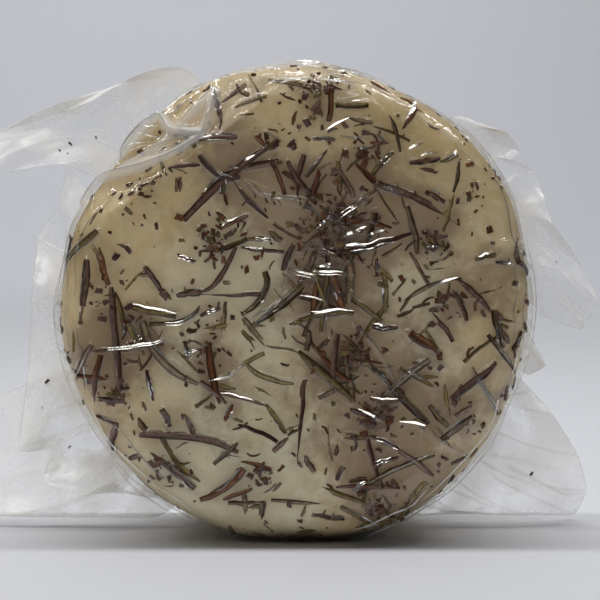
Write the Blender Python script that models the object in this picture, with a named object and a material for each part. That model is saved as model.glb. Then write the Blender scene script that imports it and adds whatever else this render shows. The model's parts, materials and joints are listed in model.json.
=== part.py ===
"""Rosemary-coated goat cheese, vacuum packed in a clear bag and standing on its rim.

Metres, +Z up. The coated face that shows looks along -Y, and the origin lies on the floor under the wheel's middle.
Two solids: the wheel of cheese with its rosemary in relief, and the bag, a band of film round the rim with the
loose ends of the bag that leave it on both sides.
"""

import math
import random

import bmesh
import bpy
from mathutils import Matrix, Vector, noise
from mathutils.bvhtree import BVHTree

MM = 0.001

# The wheel of cheese
WHEEL_RADIUS = 59.8 * MM
WHEEL_OVAL = 0.45 * MM  # how much taller than wide it is, at the rim
WHEEL_THICKNESS = 52 * MM
SHOULDER_RADIUS = 10 * MM
FLAT_SAG = 0.4 * MM  # how far the wheel's own weight flattens the rim that it stands on
RIM_SWELLS = ((142, 17, -2.4 * MM), (292, 20, 1.3 * MM), (32, 22, 1.1 * MM))  # angle and half width in degrees, height
LUMP_HEIGHT = 0.8 * MM
LUMP_SIZE = 19 * MM
FACE_DISH = 1.6 * MM  # the pressed face is lowest in the middle
FACE_DISH_RADIUS = 30 * MM

# The pressed corner at the upper left, a flat that leans back from the face
CORNER_ANGLE = 127  # degrees, where on the rim it lies
CORNER_LEAN = 48  # degrees, from facing outwards to facing the front
CORNER_START = 46 * MM  # from the wheel's axis to where it meets the face

# The wheel's mesh: rings from the middle of a face to the middle of the rim
FACE_RINGS = 6
SHOULDER_RINGS = 4
SIDE_RINGS = 1
HALF_RINGS = FACE_RINGS + SHOULDER_RINGS + SIDE_RINGS

# The bag's film and the clearance that keeps it off the cheese
FILM_WALL = 0.55 * MM
FILM_GAP = 0.35 * MM
BAND_FRONT = -9 * MM
BAND_BACK = 13 * MM
BAND_STEPS = 72
SHEET_COLUMNS = 3  # grid columns from one rib of a loose sheet to the next
SHEET_ROWS = 5
PLEAT_DEPTH = 1.6 * MM

CENTRE_HEIGHT = WHEEL_RADIUS - FLAT_SAG + FILM_GAP + FILM_WALL
CENTRE = Vector((0, 0, CENTRE_HEIGHT))
FLOOR = -CENTRE_HEIGHT  # the floor, measured from the wheel's centre

# Rosemary needles
NEEDLE_HEIGHT = 1.15 * MM
NEEDLE_SINK = 0.35  # share of a needle's height that lies in the cheese
NEEDLE_SIDES = 4  # with a ridge along the top
NEEDLE_TIP = 0.55  # width of the narrow end against the wide one
LONG_NEEDLE = 11 * MM  # from this length on, a needle bends with the surface
NEEDLE_COVER = 1.5 * MM  # least distance between the middles of two scattered needles
SCATTER_SEED = 11
FACE_SCATTER = 16
BACK_SCATTER = 36
SHOULDER_SCATTER = 12

# The longest needles on the face: both ends as x and z from the wheel's centre, and the width, all in millimetres
FACE_NEEDLES = (
    (-4.5, 40.8, -27.2, 21.5, 2.0),
    (-31.8, 35.0, -23.5, 35.2, 1.4),
    (-25.5, 38.5, -18.0, 32.5, 1.6),
    (-16.5, 31.2, -9.5, 23.8, 1.5),
    (-12.2, 31.0, 4.0, 25.2, 1.5),
    (8.5, 39.0, 2.8, 32.5, 1.4),
    (11.0, 36.2, 11.0, 24.8, 1.6),
    (14.0, 38.0, 21.2, 30.5, 1.4),
    (21.2, 49.8, 26.5, 38.5, 1.6),
    (10.2, 49.8, 18.2, 50.0, 1.4),
    (28.8, 36.2, 36.0, 37.8, 1.4),
    (21.5, 30.2, 34.0, 25.8, 1.6),
    (34.5, 25.5, 45.2, 16.8, 1.8),
    (9.0, 13.8, 34.0, 20.5, 1.8),
    (10.2, 23.2, 22.8, 19.8, 1.8),
    (-5.0, 20.8, 3.5, 15.8, 1.4),
    (9.8, 8.8, 12.5, -0.2, 2.0),
    (14.8, 11.8, 14.6, 0.5, 1.8),
    (1.2, -3.5, 15.0, -1.8, 1.8),
    (-9.5, -4.0, 2.0, 5.5, 1.9),
    (-12.8, -3.0, -6.2, -10.8, 1.6),
    (-23.5, 3.0, -8.2, 3.2, 1.3),
    (-21.0, 13.5, -11.8, 17.0, 1.4),
    (1.0, -11.5, 14.5, -23.5, 1.8),
    (15.8, -10.2, 24.2, -20.2, 1.9),
    (3.4, -20.5, 0.8, -47.2, 1.8),
    (-51.2, 11.5, -52.5, 0.0, 1.5),
    (-49.0, 19.2, -45.8, 5.5, 2.2),
    (-45.6, 3.5, -43.2, -21.0, 1.9),
    (-37.5, -3.8, -30.5, -17.8, 1.5),
    (-37.2, 10.0, -32.0, 3.5, 1.3),
    (-29.5, -17.0, -17.2, -24.8, 1.6),
    (-54.5, -18.5, -50.5, -9.5, 1.7),
    (-43.8, -29.5, -47.0, -37.5, 1.8),
    (-38.5, -31.8, -14.0, -36.8, 1.5),
    (-32.8, -33.5, -23.5, -44.0, 1.6),
    (-15.5, -29.0, -4.2, -34.2, 1.5),
    (-23.5, -48.2, -12.8, -41.8, 1.5),
    (-5.8, -48.8, 12.5, -50.2, 1.4),
    (10.5, -45.2, 26.5, -45.2, 1.4),
    (14.0, -25.5, 26.5, -30.5, 2.0),
    (18.5, -33.0, 35.0, -42.0, 1.5),
    (34.2, -24.8, 39.0, -29.8, 1.4),
    (39.5, -23.0, 50.0, -14.0, 2.0),
    (42.5, -13.5, 50.0, -7.0, 1.2),
    (50.6, -0.5, 52.0, -10.0, 1.8),
    (26.5, 0.5, 42.0, 6.8, 1.6),
    (39.2, 3.8, 43.8, -4.5, 1.3),
    (26.5, -15.5, 35.5, -21.0, 1.2),
)

# The loose sheets of the bag. Each row is one rib of film: the rim angle in degrees where it leaves the band, then
# x, y and z of its free end from the wheel's centre in millimetres
LOOSE_SHEETS = {
    "left_tongue": (
        (116, -52, -2, 50),
        (125, -86, 5, 49),
        (133, -87, -3, 42),
        (141, -86, 4, 35),
        (148, -62, -2, 35),
    ),
    "left_skirt": (
        (152, -60, 6, 33),
        (160, -62, 2, 23),
        (168, -66, 8, 14),
        (177, -67, 2, 4),
        (187, -69, 8, -6),
        (198, -71, 3, -23),
        (209, -73, 9, -40),
        (219, -65, 0, -49),
        (228, -56, -5, -52),
        (236, -47, 1, -50),
    ),
    "left_foot": (
        (197, -86, 19, -30),
        (211, -87, 13, -46),
        (226, -85, 1, -59),
        (240, -42, 10, -59),
    ),
    "right_crest": (
        (46, 53, 7, 41),
        (38, 60, 2, 36),
        (30, 66, 9, 27),
        (22, 69, 1, 16),
        (15, 79, 7, 4),
        (8, 78, 1, -10),
        (1, 65, 6, -4),
    ),
    "right_tab": (
        (-5, 62, 5, -10),
        (-11, 66, 0, -18),
        (-17, 62, 5, -21),
    ),
    "right_skirt": (
        (-20, 63, 7, -23),
        (-27, 69, 2, -30),
        (-34, 75, 10, -40),
        (-41, 77, 8, -50),
        (-48, 76, 17, -59),
        (-55, 55, 12, -59),
        (-61, 41, 8, -59),
    ),
}

# Colour, roughness and opacity of each finish
FINISHES = {
    "cheese": ((0.62, 0.52, 0.34), 0.42, 1.0),
    "film": ((0.86, 0.88, 0.88), 0.12, 0.3),
}


def clear_scene():
    """Removes whatever the file opened with."""
    for obj in list(bpy.data.objects):
        bpy.data.objects.remove(obj)


def finish(name):
    """A plain material of one of the named finishes."""
    colour, roughness, opacity = FINISHES[name]
    material = bpy.data.materials.new(name)
    material.use_nodes = True
    shader = material.node_tree.nodes["Principled BSDF"]
    shader.inputs["Base Color"].default_value = (*colour, 1)
    shader.inputs["Roughness"].default_value = roughness
    shader.inputs["Alpha"].default_value = opacity
    return material


def object_from(bm, name, material, collection=None):
    """Links a bmesh as a named object and frees it."""
    mesh = bpy.data.meshes.new(name)
    bm.to_mesh(mesh)
    bm.free()
    mesh.materials.append(material)
    obj = bpy.data.objects.new(name, mesh)
    (collection or bpy.context.scene.collection).objects.link(obj)
    return obj


def largest_shell(bm):
    """Keeps the largest closed shell, so that pockets sealed between crossing pieces are filled."""
    left = set(bm.verts)
    largest = set()
    while left:
        shell = set()
        edge = {left.pop()}
        while edge:
            shell |= edge
            edge = {e.other_vert(vert) for vert in edge for e in vert.link_edges} - shell
        left -= shell
        if len(shell) > len(largest):
            largest = shell
    bmesh.ops.delete(bm, geom=[vert for vert in bm.verts if vert not in largest], context="VERTS")


def join(obj, pieces):
    """Joins a collection's objects to obj as one solid and removes the collection."""
    union = obj.modifiers.new("join", "BOOLEAN")
    union.operation = "UNION"
    union.operand_type = "COLLECTION"
    union.collection = pieces
    union.solver = "MANIFOLD"
    joined = bpy.data.meshes.new_from_object(obj.evaluated_get(bpy.context.evaluated_depsgraph_get()))
    obj.modifiers.clear()
    obj.data = joined
    for piece in list(pieces.objects):
        bpy.data.objects.remove(piece)
    bpy.data.collections.remove(pieces)
    bm = bmesh.new()
    bm.from_mesh(joined)
    largest_shell(bm)
    bm.to_mesh(joined)
    bm.free()


def rim_radius(angle):
    """The bare wheel's radius at a rim angle in radians, 0 to the right and a quarter turn at the top."""
    radius = WHEEL_RADIUS - WHEEL_OVAL * math.cos(2 * angle)
    for middle, half_width, height in RIM_SWELLS:
        away = (math.degrees(angle) - middle + 180) % 360 - 180
        radius += height * math.exp(-((away / half_width) ** 2))
    return radius


def profile(share):
    """How far in from the rim and how far behind the front face the bare wheel's surface lies.

    share runs from 0 at the middle of the face to 1 at the middle of the rim. The inset is a share of the radius on
    the flat face, as the second value tells: (inset share, inset, depth).
    """
    ring = share * HALF_RINGS
    if ring <= FACE_RINGS:
        return 1 - ring / FACE_RINGS, SHOULDER_RADIUS, 0.0
    ring -= FACE_RINGS
    if ring <= SHOULDER_RINGS:
        turn = math.radians(90) * ring / SHOULDER_RINGS
        return 0.0, SHOULDER_RADIUS * (1 - math.sin(turn)), SHOULDER_RADIUS * (1 - math.cos(turn))
    ring -= SHOULDER_RINGS
    side = WHEEL_THICKNESS / 2 - SHOULDER_RADIUS
    return 0.0, 0.0, SHOULDER_RADIUS + side * ring / SIDE_RINGS


def round_angle(across, up):
    """The angle that a point of a square grid takes when the square is bent into a disc, ring by ring."""
    if max(abs(across), abs(up)) < 1e-9:
        return 0.0
    if abs(across) >= abs(up):
        return math.radians(45) * up / across + (math.pi if across < 0 else 0)
    return math.radians(90) - math.radians(45) * across / up + (math.pi if up < 0 else 0)


def bare_point(share, angle, side):
    """A point of the wheel before it gets its lumps, from the wheel's centre. side is -1 in front and 1 behind."""
    inset_share, inset, depth = profile(share)
    radius = (rim_radius(angle) - inset) * (1 - inset_share)
    return Vector((radius * math.cos(angle), side * (WHEEL_THICKNESS / 2 - depth), radius * math.sin(angle)))


def lump(point):
    """Height of the curd's soft lumps at a point of the wheel."""
    return LUMP_HEIGHT * noise.noise(point / LUMP_SIZE)


def pressed(point):
    """The point after the pressed corner has taken away what stood beyond it."""
    around, lean = math.radians(CORNER_ANGLE), math.radians(CORNER_LEAN)
    outwards = Vector((math.cos(around), 0, math.sin(around)))
    normal = outwards * math.cos(lean) - Vector((0, 1, 0)) * math.sin(lean)
    edge = outwards * CORNER_START - Vector((0, WHEEL_THICKNESS / 2, 0))
    return point - normal * max(0.0, (point - edge).dot(normal))


def shaped(point, outwards, lift=0.0):
    """A bare point of the wheel with dish, lumps, pressed corner and the flat that it stands on.

    lift is the distance off the cheese, as for the film that wraps it.
    """
    out = point + outwards * lump(point)
    if point.y < 0:
        from_axis = math.hypot(point.x, point.z)
        out.y += FACE_DISH * math.exp(-((from_axis / FACE_DISH_RADIUS) ** 2))
    out = pressed(out) + outwards * lift
    out.z = max(out.z, FLOOR + FILM_GAP + FILM_WALL - lift)
    return out


def cheese_bmesh():
    """The wheel without its rosemary: a square grid bent round one face and half the rim, and the same behind."""
    bm = bmesh.new()
    bmesh.ops.create_grid(bm, x_segments=2 * HALF_RINGS, y_segments=2 * HALF_RINGS, size=1)
    for vert in bm.verts:
        across, up = vert.co.x, vert.co.y
        vert.co = bare_point(max(abs(across), abs(up)), round_angle(across, up), -1)
    bmesh.ops.mirror(bm, geom=bm.verts[:] + bm.edges[:] + bm.faces[:], axis="Y", merge_dist=0.01 * MM)
    bmesh.ops.recalc_face_normals(bm, faces=bm.faces)
    bm.normal_update()
    moved = [shaped(vert.co, vert.normal) for vert in bm.verts]
    for vert, place in zip(bm.verts, moved):
        vert.co = place
    bmesh.ops.triangulate(bm, faces=bm.faces)
    return bm


def needle_bmesh(surface, start, end, width):
    """One needle of rosemary laid on the cheese from start to end: a ridged bar that bends with the surface."""
    bm = bmesh.new()
    bmesh.ops.create_cone(
        bm, cap_ends=True, segments=NEEDLE_SIDES, radius1=0.5, radius2=0.5 * NEEDLE_TIP, depth=1,
        matrix=Matrix.Rotation(math.radians(90), 4, "Y"),
    )
    if (end - start).length > LONG_NEEDLE:
        long_edges = [e for e in bm.edges if abs(e.verts[0].co.x - e.verts[1].co.x) > 0.5]
        bmesh.ops.subdivide_edges(bm, edges=long_edges, cuts=1)
    for vert in bm.verts:
        foot, normal, _, _ = surface.find_nearest(start.lerp(end, vert.co.x + 0.5))
        along = (end - start) - normal * (end - start).dot(normal)
        across = normal.cross(along).normalized()
        up = NEEDLE_HEIGHT * (vert.co.z + 0.5 - NEEDLE_SINK)
        vert.co = foot + across * (vert.co.y * width) + normal * up
    return bm


def scattered_needles(draw):
    """Short needles that a seeded draw spreads over the face, the back and both shoulders: (start, end, width)."""
    laid = []
    spots = []
    for side, count, first, last in (
        (-1, FACE_SCATTER, 0.1, 0.62),
        (1, BACK_SCATTER, 0.02, 0.6),
        (-1, SHOULDER_SCATTER, 0.64, 0.74),
        (1, SHOULDER_SCATTER, 0.64, 0.74),
    ):
        while count:
            share = math.sqrt(draw.uniform(first**2, last**2))
            angle = draw.uniform(0, math.tau)
            lean = draw.uniform(0, math.tau)
            length = draw.uniform(6, 13) * MM
            middle = bare_point(share, angle, side)
            at_foot = middle.z < FLOOR + 6 * MM
            if at_foot or any((middle - spot).length < NEEDLE_COVER * 4 for spot in spots):
                continue
            spots.append(middle)
            count -= 1
            around = Vector((-math.sin(angle), 0, math.cos(angle)))
            flat = Vector((math.cos(lean), 0, math.sin(lean)))
            half = (around if share > 0.62 else flat) * length / 2
            laid.append((middle - half, middle + half, draw.uniform(1.1, 1.7) * MM))
    return laid


def coated_cheese():
    """The wheel with its rosemary joined to it, as one solid."""
    cream = finish("cheese")
    body = cheese_bmesh()
    surface = BVHTree.FromBMesh(body)
    cheese = object_from(body, "goat_cheese", cream)
    needles = bpy.data.collections.new("needles")
    bpy.context.scene.collection.children.link(needles)
    front = -WHEEL_THICKNESS / 2
    laid = [
        (Vector((x1 * MM, front, z1 * MM)), Vector((x2 * MM, front, z2 * MM)), width * MM)
        for x1, z1, x2, z2, width in FACE_NEEDLES
    ]
    laid += scattered_needles(random.Random(SCATTER_SEED))
    for number, (start, end, width) in enumerate(laid):
        object_from(needle_bmesh(surface, start, end, width), f"needle_{number:03d}", cream, needles)
    join(cheese, needles)
    cheese.location = CENTRE


def band_point(angle, depth, lift):
    """A point of the film's band round the rim. depth is measured from the middle of the rim, towards the back."""
    outwards = Vector((math.cos(angle), 0, math.sin(angle)))
    bare = outwards * rim_radius(angle) + Vector((0, depth, 0))
    return shaped(bare, outwards, lift)


def band_bmesh():
    """The band of film that the vacuum has drawn tight round the rim: a spun strip with its wall thickness."""
    bm = bmesh.new()
    corners = [
        bm.verts.new((1 + rise, depth, 0))
        for rise, depth in ((0, BAND_FRONT), (1, BAND_FRONT), (1, 0), (1, BAND_BACK), (0, BAND_BACK), (0, 0))
    ]
    edges = [bm.edges.new((a, b)) for a, b in zip(corners, corners[1:] + corners[:1])]
    bmesh.ops.spin(
        bm, geom=edges, cent=(0, 0, 0), axis=(0, 1, 0), dvec=(0, 0, 0), angle=math.tau, steps=BAND_STEPS,
        use_merge=True,
    )
    for vert in bm.verts:
        rise = math.hypot(vert.co.x, vert.co.z) - 1
        angle = math.atan2(vert.co.z, vert.co.x)
        vert.co = band_point(angle, vert.co.y, FILM_GAP + FILM_WALL * rise)
    bmesh.ops.triangulate(bm, faces=bm.faces)
    bmesh.ops.recalc_face_normals(bm, faces=bm.faces)
    return bm


def smooth_between(before, left, right, after, share):
    """Catmull-Rom blend of four points, from left at share 0 to right at share 1."""
    lean_left = (right - before) / 2
    lean_right = (after - left) / 2
    rise = share * share * (3 - 2 * share)
    bow_left = share * (1 - share) ** 2
    bow_right = share**2 * (1 - share)
    return left.lerp(right, rise) + lean_left * bow_left - lean_right * bow_right


def rib_point(rib, down):
    """A point of one rib of a loose sheet: it leaves the band straight outwards and bends to its free end."""
    angle = math.radians(rib[0])
    root = band_point(angle, (BAND_FRONT + BAND_BACK) / 2 + 1 * MM, FILM_GAP + FILM_WALL / 2)
    tip = Vector(rib[1:]) * MM
    outwards = Vector((math.cos(angle), 0, math.sin(angle)))
    knee = root + outwards * (tip - root).length * 0.45
    return root.lerp(knee, down).lerp(knee.lerp(tip, down), down)


def sheet_bmesh(ribs):
    """One loose sheet of the bag: a grid drawn over its ribs, pleated between them, with its wall thickness."""
    last = len(ribs) - 1
    bm = bmesh.new()
    bmesh.ops.create_grid(bm, x_segments=SHEET_COLUMNS * last, y_segments=SHEET_ROWS, size=0.5)
    for vert in bm.verts:
        place = (vert.co.x + 0.5) * last
        down = vert.co.y + 0.5
        left = min(int(place), last - 1)
        picked = [ribs[min(max(left + step, 0), last)] for step in (-1, 0, 1, 2)]
        vert.co = smooth_between(*(rib_point(rib, down) for rib in picked), place - left)
        vert.co.y += PLEAT_DEPTH * math.sin(math.tau * place * 0.75) * math.sin(math.radians(90) * down)
        vert.co.z = max(vert.co.z, FLOOR + FILM_WALL)
    bmesh.ops.triangulate(bm, faces=bm.faces)
    bm.normal_update()
    one_side = [(vert, vert.normal.copy()) for vert in bm.verts]
    bmesh.ops.extrude_face_region(bm, geom=bm.faces[:], use_keep_orig=True)
    for vert, normal in one_side:
        vert.co -= normal * FILM_WALL
        vert.co.z = max(vert.co.z, FLOOR)
    bmesh.ops.recalc_face_normals(bm, faces=bm.faces)
    return bm


def vacuum_bag():
    """The clear bag: the band round the rim and its loose sheets, joined into one solid."""
    clear = finish("film")
    bag = object_from(band_bmesh(), "vacuum_bag", clear)
    sheets = bpy.data.collections.new("sheets")
    bpy.context.scene.collection.children.link(sheets)
    for name, ribs in LOOSE_SHEETS.items():
        object_from(sheet_bmesh(ribs), name, clear, sheets)
    join(bag, sheets)
    bag.location = CENTRE


def main():
    """Builds the cheese and its bag."""
    clear_scene()
    coated_cheese()
    vacuum_bag()


main()
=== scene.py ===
"""A round of goat cheese coated with rosemary, vacuum packed in a clear bag and standing on its rim.

The wheel, its herbs, the skin of film that the vacuum draws over them and the bag's loose ends are built over the
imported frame. Lengths are metres, +Z is up, and the face that shows looks along -Y.
"""

import json
import logging
import math
import random
from dataclasses import dataclass, field
from enum import Enum, IntEnum

import bmesh
import bpy
import numpy as np
from mathutils import Matrix, Vector, noise

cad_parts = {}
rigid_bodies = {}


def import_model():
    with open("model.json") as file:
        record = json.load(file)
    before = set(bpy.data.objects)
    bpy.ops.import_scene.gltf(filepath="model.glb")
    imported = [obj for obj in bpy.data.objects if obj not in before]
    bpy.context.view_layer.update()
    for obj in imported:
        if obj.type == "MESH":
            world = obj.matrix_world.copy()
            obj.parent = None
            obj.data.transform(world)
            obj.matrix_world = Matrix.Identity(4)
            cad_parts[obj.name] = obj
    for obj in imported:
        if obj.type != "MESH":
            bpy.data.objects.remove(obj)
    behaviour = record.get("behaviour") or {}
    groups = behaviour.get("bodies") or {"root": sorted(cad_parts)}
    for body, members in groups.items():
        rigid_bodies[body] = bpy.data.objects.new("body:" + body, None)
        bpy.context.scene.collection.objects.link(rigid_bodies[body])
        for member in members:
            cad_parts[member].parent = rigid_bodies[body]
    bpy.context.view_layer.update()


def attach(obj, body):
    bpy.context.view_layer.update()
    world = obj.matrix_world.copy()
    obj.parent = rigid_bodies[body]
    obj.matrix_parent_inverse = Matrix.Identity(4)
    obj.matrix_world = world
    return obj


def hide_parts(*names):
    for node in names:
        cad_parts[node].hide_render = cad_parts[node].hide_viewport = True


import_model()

MM = 0.001
WRINKLE_SEED = 23
FACE_FINENESS = 0.72  # size of a grid's cells in the middle of the face, against an even grid's
TINY = 1e-9  # keeps a division clear of nothing
TINY_SQUARE = 1e-12
CRUMB_GROOVE = 0.3  # a crumb shows this much of the needle's groove
LOG = logging.getLogger("goat_cheese")


def srgb(red: int, green: int, blue: int) -> tuple[float, float, float, float]:
    """Turns a colour read off a swatch, 0 to 255, into the shader's linear colour.

    Args:
        red: its red.
        green: its green.
        blue: its blue.

    Returns:
        The linear colour, with an alpha of 1.
    """
    parts = [c / 255 for c in (red, green, blue)]
    linear = [c / 12.92 if c <= 0.04045 else ((c + 0.055) / 1.055) ** 2.4 for c in parts]
    return (*linear, 1.0)


class Wire:
    """A shader socket that takes part in sums, so that the patterns' maths reads as arithmetic."""

    def __init__(self, bench: "Bench", socket: bpy.types.NodeSocket) -> None:
        """Keeps the socket and the bench that it is on."""
        self.bench = bench
        self.socket = socket

    def _sum(self, operation: str, *values: object, clamp: bool = False) -> "Wire":
        """Adds a Math node over the values."""
        return self.bench.maths(operation, *values, clamp=clamp)

    def __add__(self, other: object) -> "Wire":
        """self + other."""
        return self._sum("ADD", self, other)

    def __radd__(self, other: object) -> "Wire":
        """other + self."""
        return self._sum("ADD", other, self)

    def __sub__(self, other: object) -> "Wire":
        """self - other."""
        return self._sum("SUBTRACT", self, other)

    def __rsub__(self, other: object) -> "Wire":
        """other - self."""
        return self._sum("SUBTRACT", other, self)

    def __mul__(self, other: object) -> "Wire":
        """self * other."""
        return self._sum("MULTIPLY", self, other)

    def __rmul__(self, other: object) -> "Wire":
        """other * self."""
        return self._sum("MULTIPLY", other, self)

    def __pow__(self, other: object) -> "Wire":
        """self to the power of other."""
        return self._sum("POWER", self, other)

    def clamped(self) -> "Wire":
        """The value held between 0 and 1."""
        return self._sum("ADD", self, 0.0, clamp=True)

    def ramp(self, low: float, high: float) -> "Wire":
        """A smooth step.

        Args:
            low: the value that gives 0.
            high: the value that gives 1.

        Returns:
            The stepped value.
        """
        node = self.bench.node(
            "ShaderNodeMapRange",
            {"interpolation_type": "SMOOTHSTEP"},
            {"Value": self, "From Min": low, "From Max": high},
        )
        return Wire(self.bench, node.outputs["Result"])


class Bench:
    """One material's node tree, with short calls for the nodes that the finishes use."""

    def __init__(self, owner: bpy.types.Material | bpy.types.World, output: str = "ShaderNodeOutputMaterial") -> None:
        """Starts an empty tree.

        Args:
            owner: the material or world that the tree is for.
            output: the type of its output node.
        """
        owner.use_nodes = True
        self.owner = owner
        self.tree = owner.node_tree
        self.tree.nodes.clear()
        self.output = self.tree.nodes.new(output)

    @classmethod
    def for_material(cls, name: str) -> "Bench":
        """A bench for a new material."""
        return cls(bpy.data.materials.new(name))

    def node(self, kind: str, settings: dict[str, object], values: dict[object, object]) -> bpy.types.Node:
        """Adds a node.

        Args:
            kind: the node's type.
            settings: its properties by name.
            values: its inputs by name or index, each a number, a colour or a wire.

        Returns:
            The node.
        """
        node = self.tree.nodes.new(kind)
        for key, value in settings.items():
            setattr(node, key, value)
        for key, value in values.items():
            if isinstance(value, Wire):
                self.tree.links.new(value.socket, node.inputs[key])
            else:
                node.inputs[key].default_value = value
        return node

    def maths(self, operation: str, *values: object, clamp: bool = False) -> Wire:
        """A Math node over one to three values."""
        settings = {"operation": operation, "use_clamp": clamp}
        node = self.node("ShaderNodeMath", settings, dict(enumerate(values)))
        return Wire(self, node.outputs[0])

    def place(self) -> Wire:
        """The point on the piece in object coordinates."""
        return Wire(self, self.node("ShaderNodeTexCoord", {}, {}).outputs["Object"])

    def attribute(self, name: str) -> Wire:
        """A number kept on the piece's vertices."""
        node = self.node("ShaderNodeAttribute", {"attribute_name": name}, {})
        return Wire(self, node.outputs["Fac"])

    def noise(self, size: float, detail: float = 3.0, rough: float = 0.5, warp: float = 0.0) -> Wire:
        """Soft noise.

        Args:
            size: the size of its blotches in metres.
            detail: octaves of finer noise.
            rough: strength of the finer octaves.
            warp: how far the blotches are dragged out of shape.

        Returns:
            The noise, mostly between 0.3 and 0.7.
        """
        values = {
            "Vector": self.place(), "Scale": 1 / size, "Detail": detail, "Roughness": rough, "Distortion": warp,
        }
        return Wire(self, self.node("ShaderNodeTexNoise", {}, values).outputs[0])

    def blotches(self, kind: "Blotches") -> Wire:
        """Soft noise that is 0 between its blotches and 1 in the middle of them."""
        return self.noise(kind.size, kind.detail, kind.rough, kind.warp).ramp(kind.none, kind.full)

    def mix(self, share: Wire | float, first: object, second: object) -> Wire:
        """A colour between two colours."""
        node = self.node("ShaderNodeMix", {"data_type": "RGBA"}, {0: share, 6: first, 7: second})
        return Wire(self, node.outputs[2])

    def blend(self, share: Wire, first: bpy.types.Node, second: bpy.types.Node) -> bpy.types.Node:
        """A shader between two shaders."""
        wires = {1: Wire(self, first.outputs[0]), 2: Wire(self, second.outputs[0])}
        return self.node("ShaderNodeMixShader", {}, {0: share, **wires})

    def bump(self, height: Wire, depth: float, normal: Wire | None = None) -> Wire:
        """A bump normal from a height of 0 to 1 that stands for depth metres."""
        values: dict[object, object] = {"Height": height, "Distance": depth, "Strength": 1.0}
        if normal:
            values["Normal"] = normal
        return Wire(self, self.node("ShaderNodeBump", {}, values).outputs[0])

    def surface(self, shader: bpy.types.Node) -> bpy.types.Material:
        """Ends the tree with a shader."""
        self.tree.links.new(shader.outputs[0], self.output.inputs["Surface"])
        return self.owner


@dataclass(frozen=True)
class Blotches:
    """How soft noise is cut into blotches."""

    size: float
    detail: float  # octaves of finer noise
    rough: float  # strength of the finer octaves
    warp: float  # how far the blotches are dragged out of shape
    none: float  # the noise that counts as none
    full: float  # the noise that counts as all


@dataclass(frozen=True)
class CurdFinish:
    """Moist white curd that the oil of the herbs has stained, seen through film."""

    cream: tuple[float, ...] = srgb(214, 193, 153)
    pale: tuple[float, ...] = srgb(218, 212, 184)
    tan: tuple[float, ...] = srgb(180, 156, 109)
    fleck: tuple[float, ...] = srgb(236, 230, 202)
    dull: tuple[float, ...] = srgb(158, 137, 110)
    stain: tuple[float, ...] = srgb(104, 80, 60)
    soaked: tuple[float, ...] = srgb(64, 50, 44)
    # painted shade, dark brown, where the wheel meets the floor
    foot: tuple[float, ...] = srgb(58, 42, 30)
    roughness: float = 0.45
    grain: float = 0.08 * MM
    swell: float = 0.5 * MM  # height of its soft folds
    glow: float = 0.35  # share of the light that goes through the curd and out again
    glow_reach: float = 3.0 * MM
    glow_colours: tuple[float, float, float] = (1.0, 0.75, 0.45)  # how far red, green and blue go, against the reach
    cloud: Blotches = Blotches(30 * MM, 3, 0.5, 0.2, 0.40, 0.66)
    milk: Blotches = Blotches(15 * MM, 2, 0.45, 0.3, 0.40, 0.60)
    tan_cloud: Blotches = Blotches(11 * MM, 4, 0.55, 0.3, 0.50, 0.72)
    flecks: Blotches = Blotches(4.5 * MM, 4, 0.6, 0.8, 0.42, 0.68)
    fleck_share: float = 0.22
    thin_share: float = 0.3  # share of tan where the milk is thin
    tan_share: float = 0.45
    tan_zone_share: float = 0.8
    dull_share: float = 0.9
    dull_ramp: tuple[float, float] = (0.15, 0.9)
    soaked_ramp: tuple[float, float] = (0.50, 0.95)
    soaked_share: float = 0.85

    def material(self) -> bpy.types.Material:
        """Cream towards the rim, paler and greyer in the middle, with tan clouds, a stain round the herbs, painted
        shade at the foot, upper rim and pressed corner, and painted light near the bottom.
        """
        b = Bench.for_material("curd")
        clouds = b.blotches(self.cloud)
        milk = b.blotches(self.milk)
        tan = b.blotches(self.tan_cloud)
        # the warm attribute is lowered by the pale zones, which near the bottom are painted light
        warm = (b.attribute("warm") + (clouds - 0.5) * 0.5).clamped()
        colour = b.mix(warm, self.pale, self.cream)
        colour = b.mix((1.0 - milk) * self.thin_share, colour, self.tan)
        # the tan attribute carries the zones' painted shade on the pressed corner and upper rim
        tan_share = tan * self.tan_share + b.attribute("tan") * self.tan_zone_share
        colour = b.mix(tan_share.clamped(), colour, self.tan)
        colour = b.mix(b.blotches(self.flecks) * self.fleck_share, colour, self.fleck)
        patch = b.noise(8 * MM, 3, 0.55, 0.5) - 0.5
        wisps = b.noise(3.2 * MM, 4, 0.6, 1.4) - 0.5
        # the dull attribute carries the zones' painted shade at the upper rim and painted light near the bottom
        dull = (b.attribute("dull") + patch * 1.5 + wisps * 0.55).ramp(*self.dull_ramp)
        colour = b.mix(dull * self.dull_share, colour, self.dull)
        soak = (b.attribute("stain") * (1.0 + patch * 1.2)).clamped()
        colour = b.mix(soak, colour, self.stain)
        colour = b.mix(soak.ramp(*self.soaked_ramp) * self.soaked_share, colour, self.soaked)
        # painted shade at the foot of the wheel, where it meets the floor
        colour = b.mix((b.attribute("foot") * (1.0 + patch * 1.5)).clamped(), colour, self.foot)
        grain = b.noise(2.2 * MM, 3, 0.5)
        folds = b.noise(13 * MM, 2, 0.45, 0.5)
        normal = b.bump(folds, self.swell, b.bump(grain, self.grain))
        shader = b.node(
            "ShaderNodeBsdfPrincipled",
            {},
            {
                "Base Color": colour,
                "Roughness": self.roughness,
                "Normal": normal,
                "Subsurface Weight": self.glow,
                "Subsurface Radius": self.glow_colours,
                "Subsurface Scale": self.glow_reach,
            },
        )
        return b.surface(shader)


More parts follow.
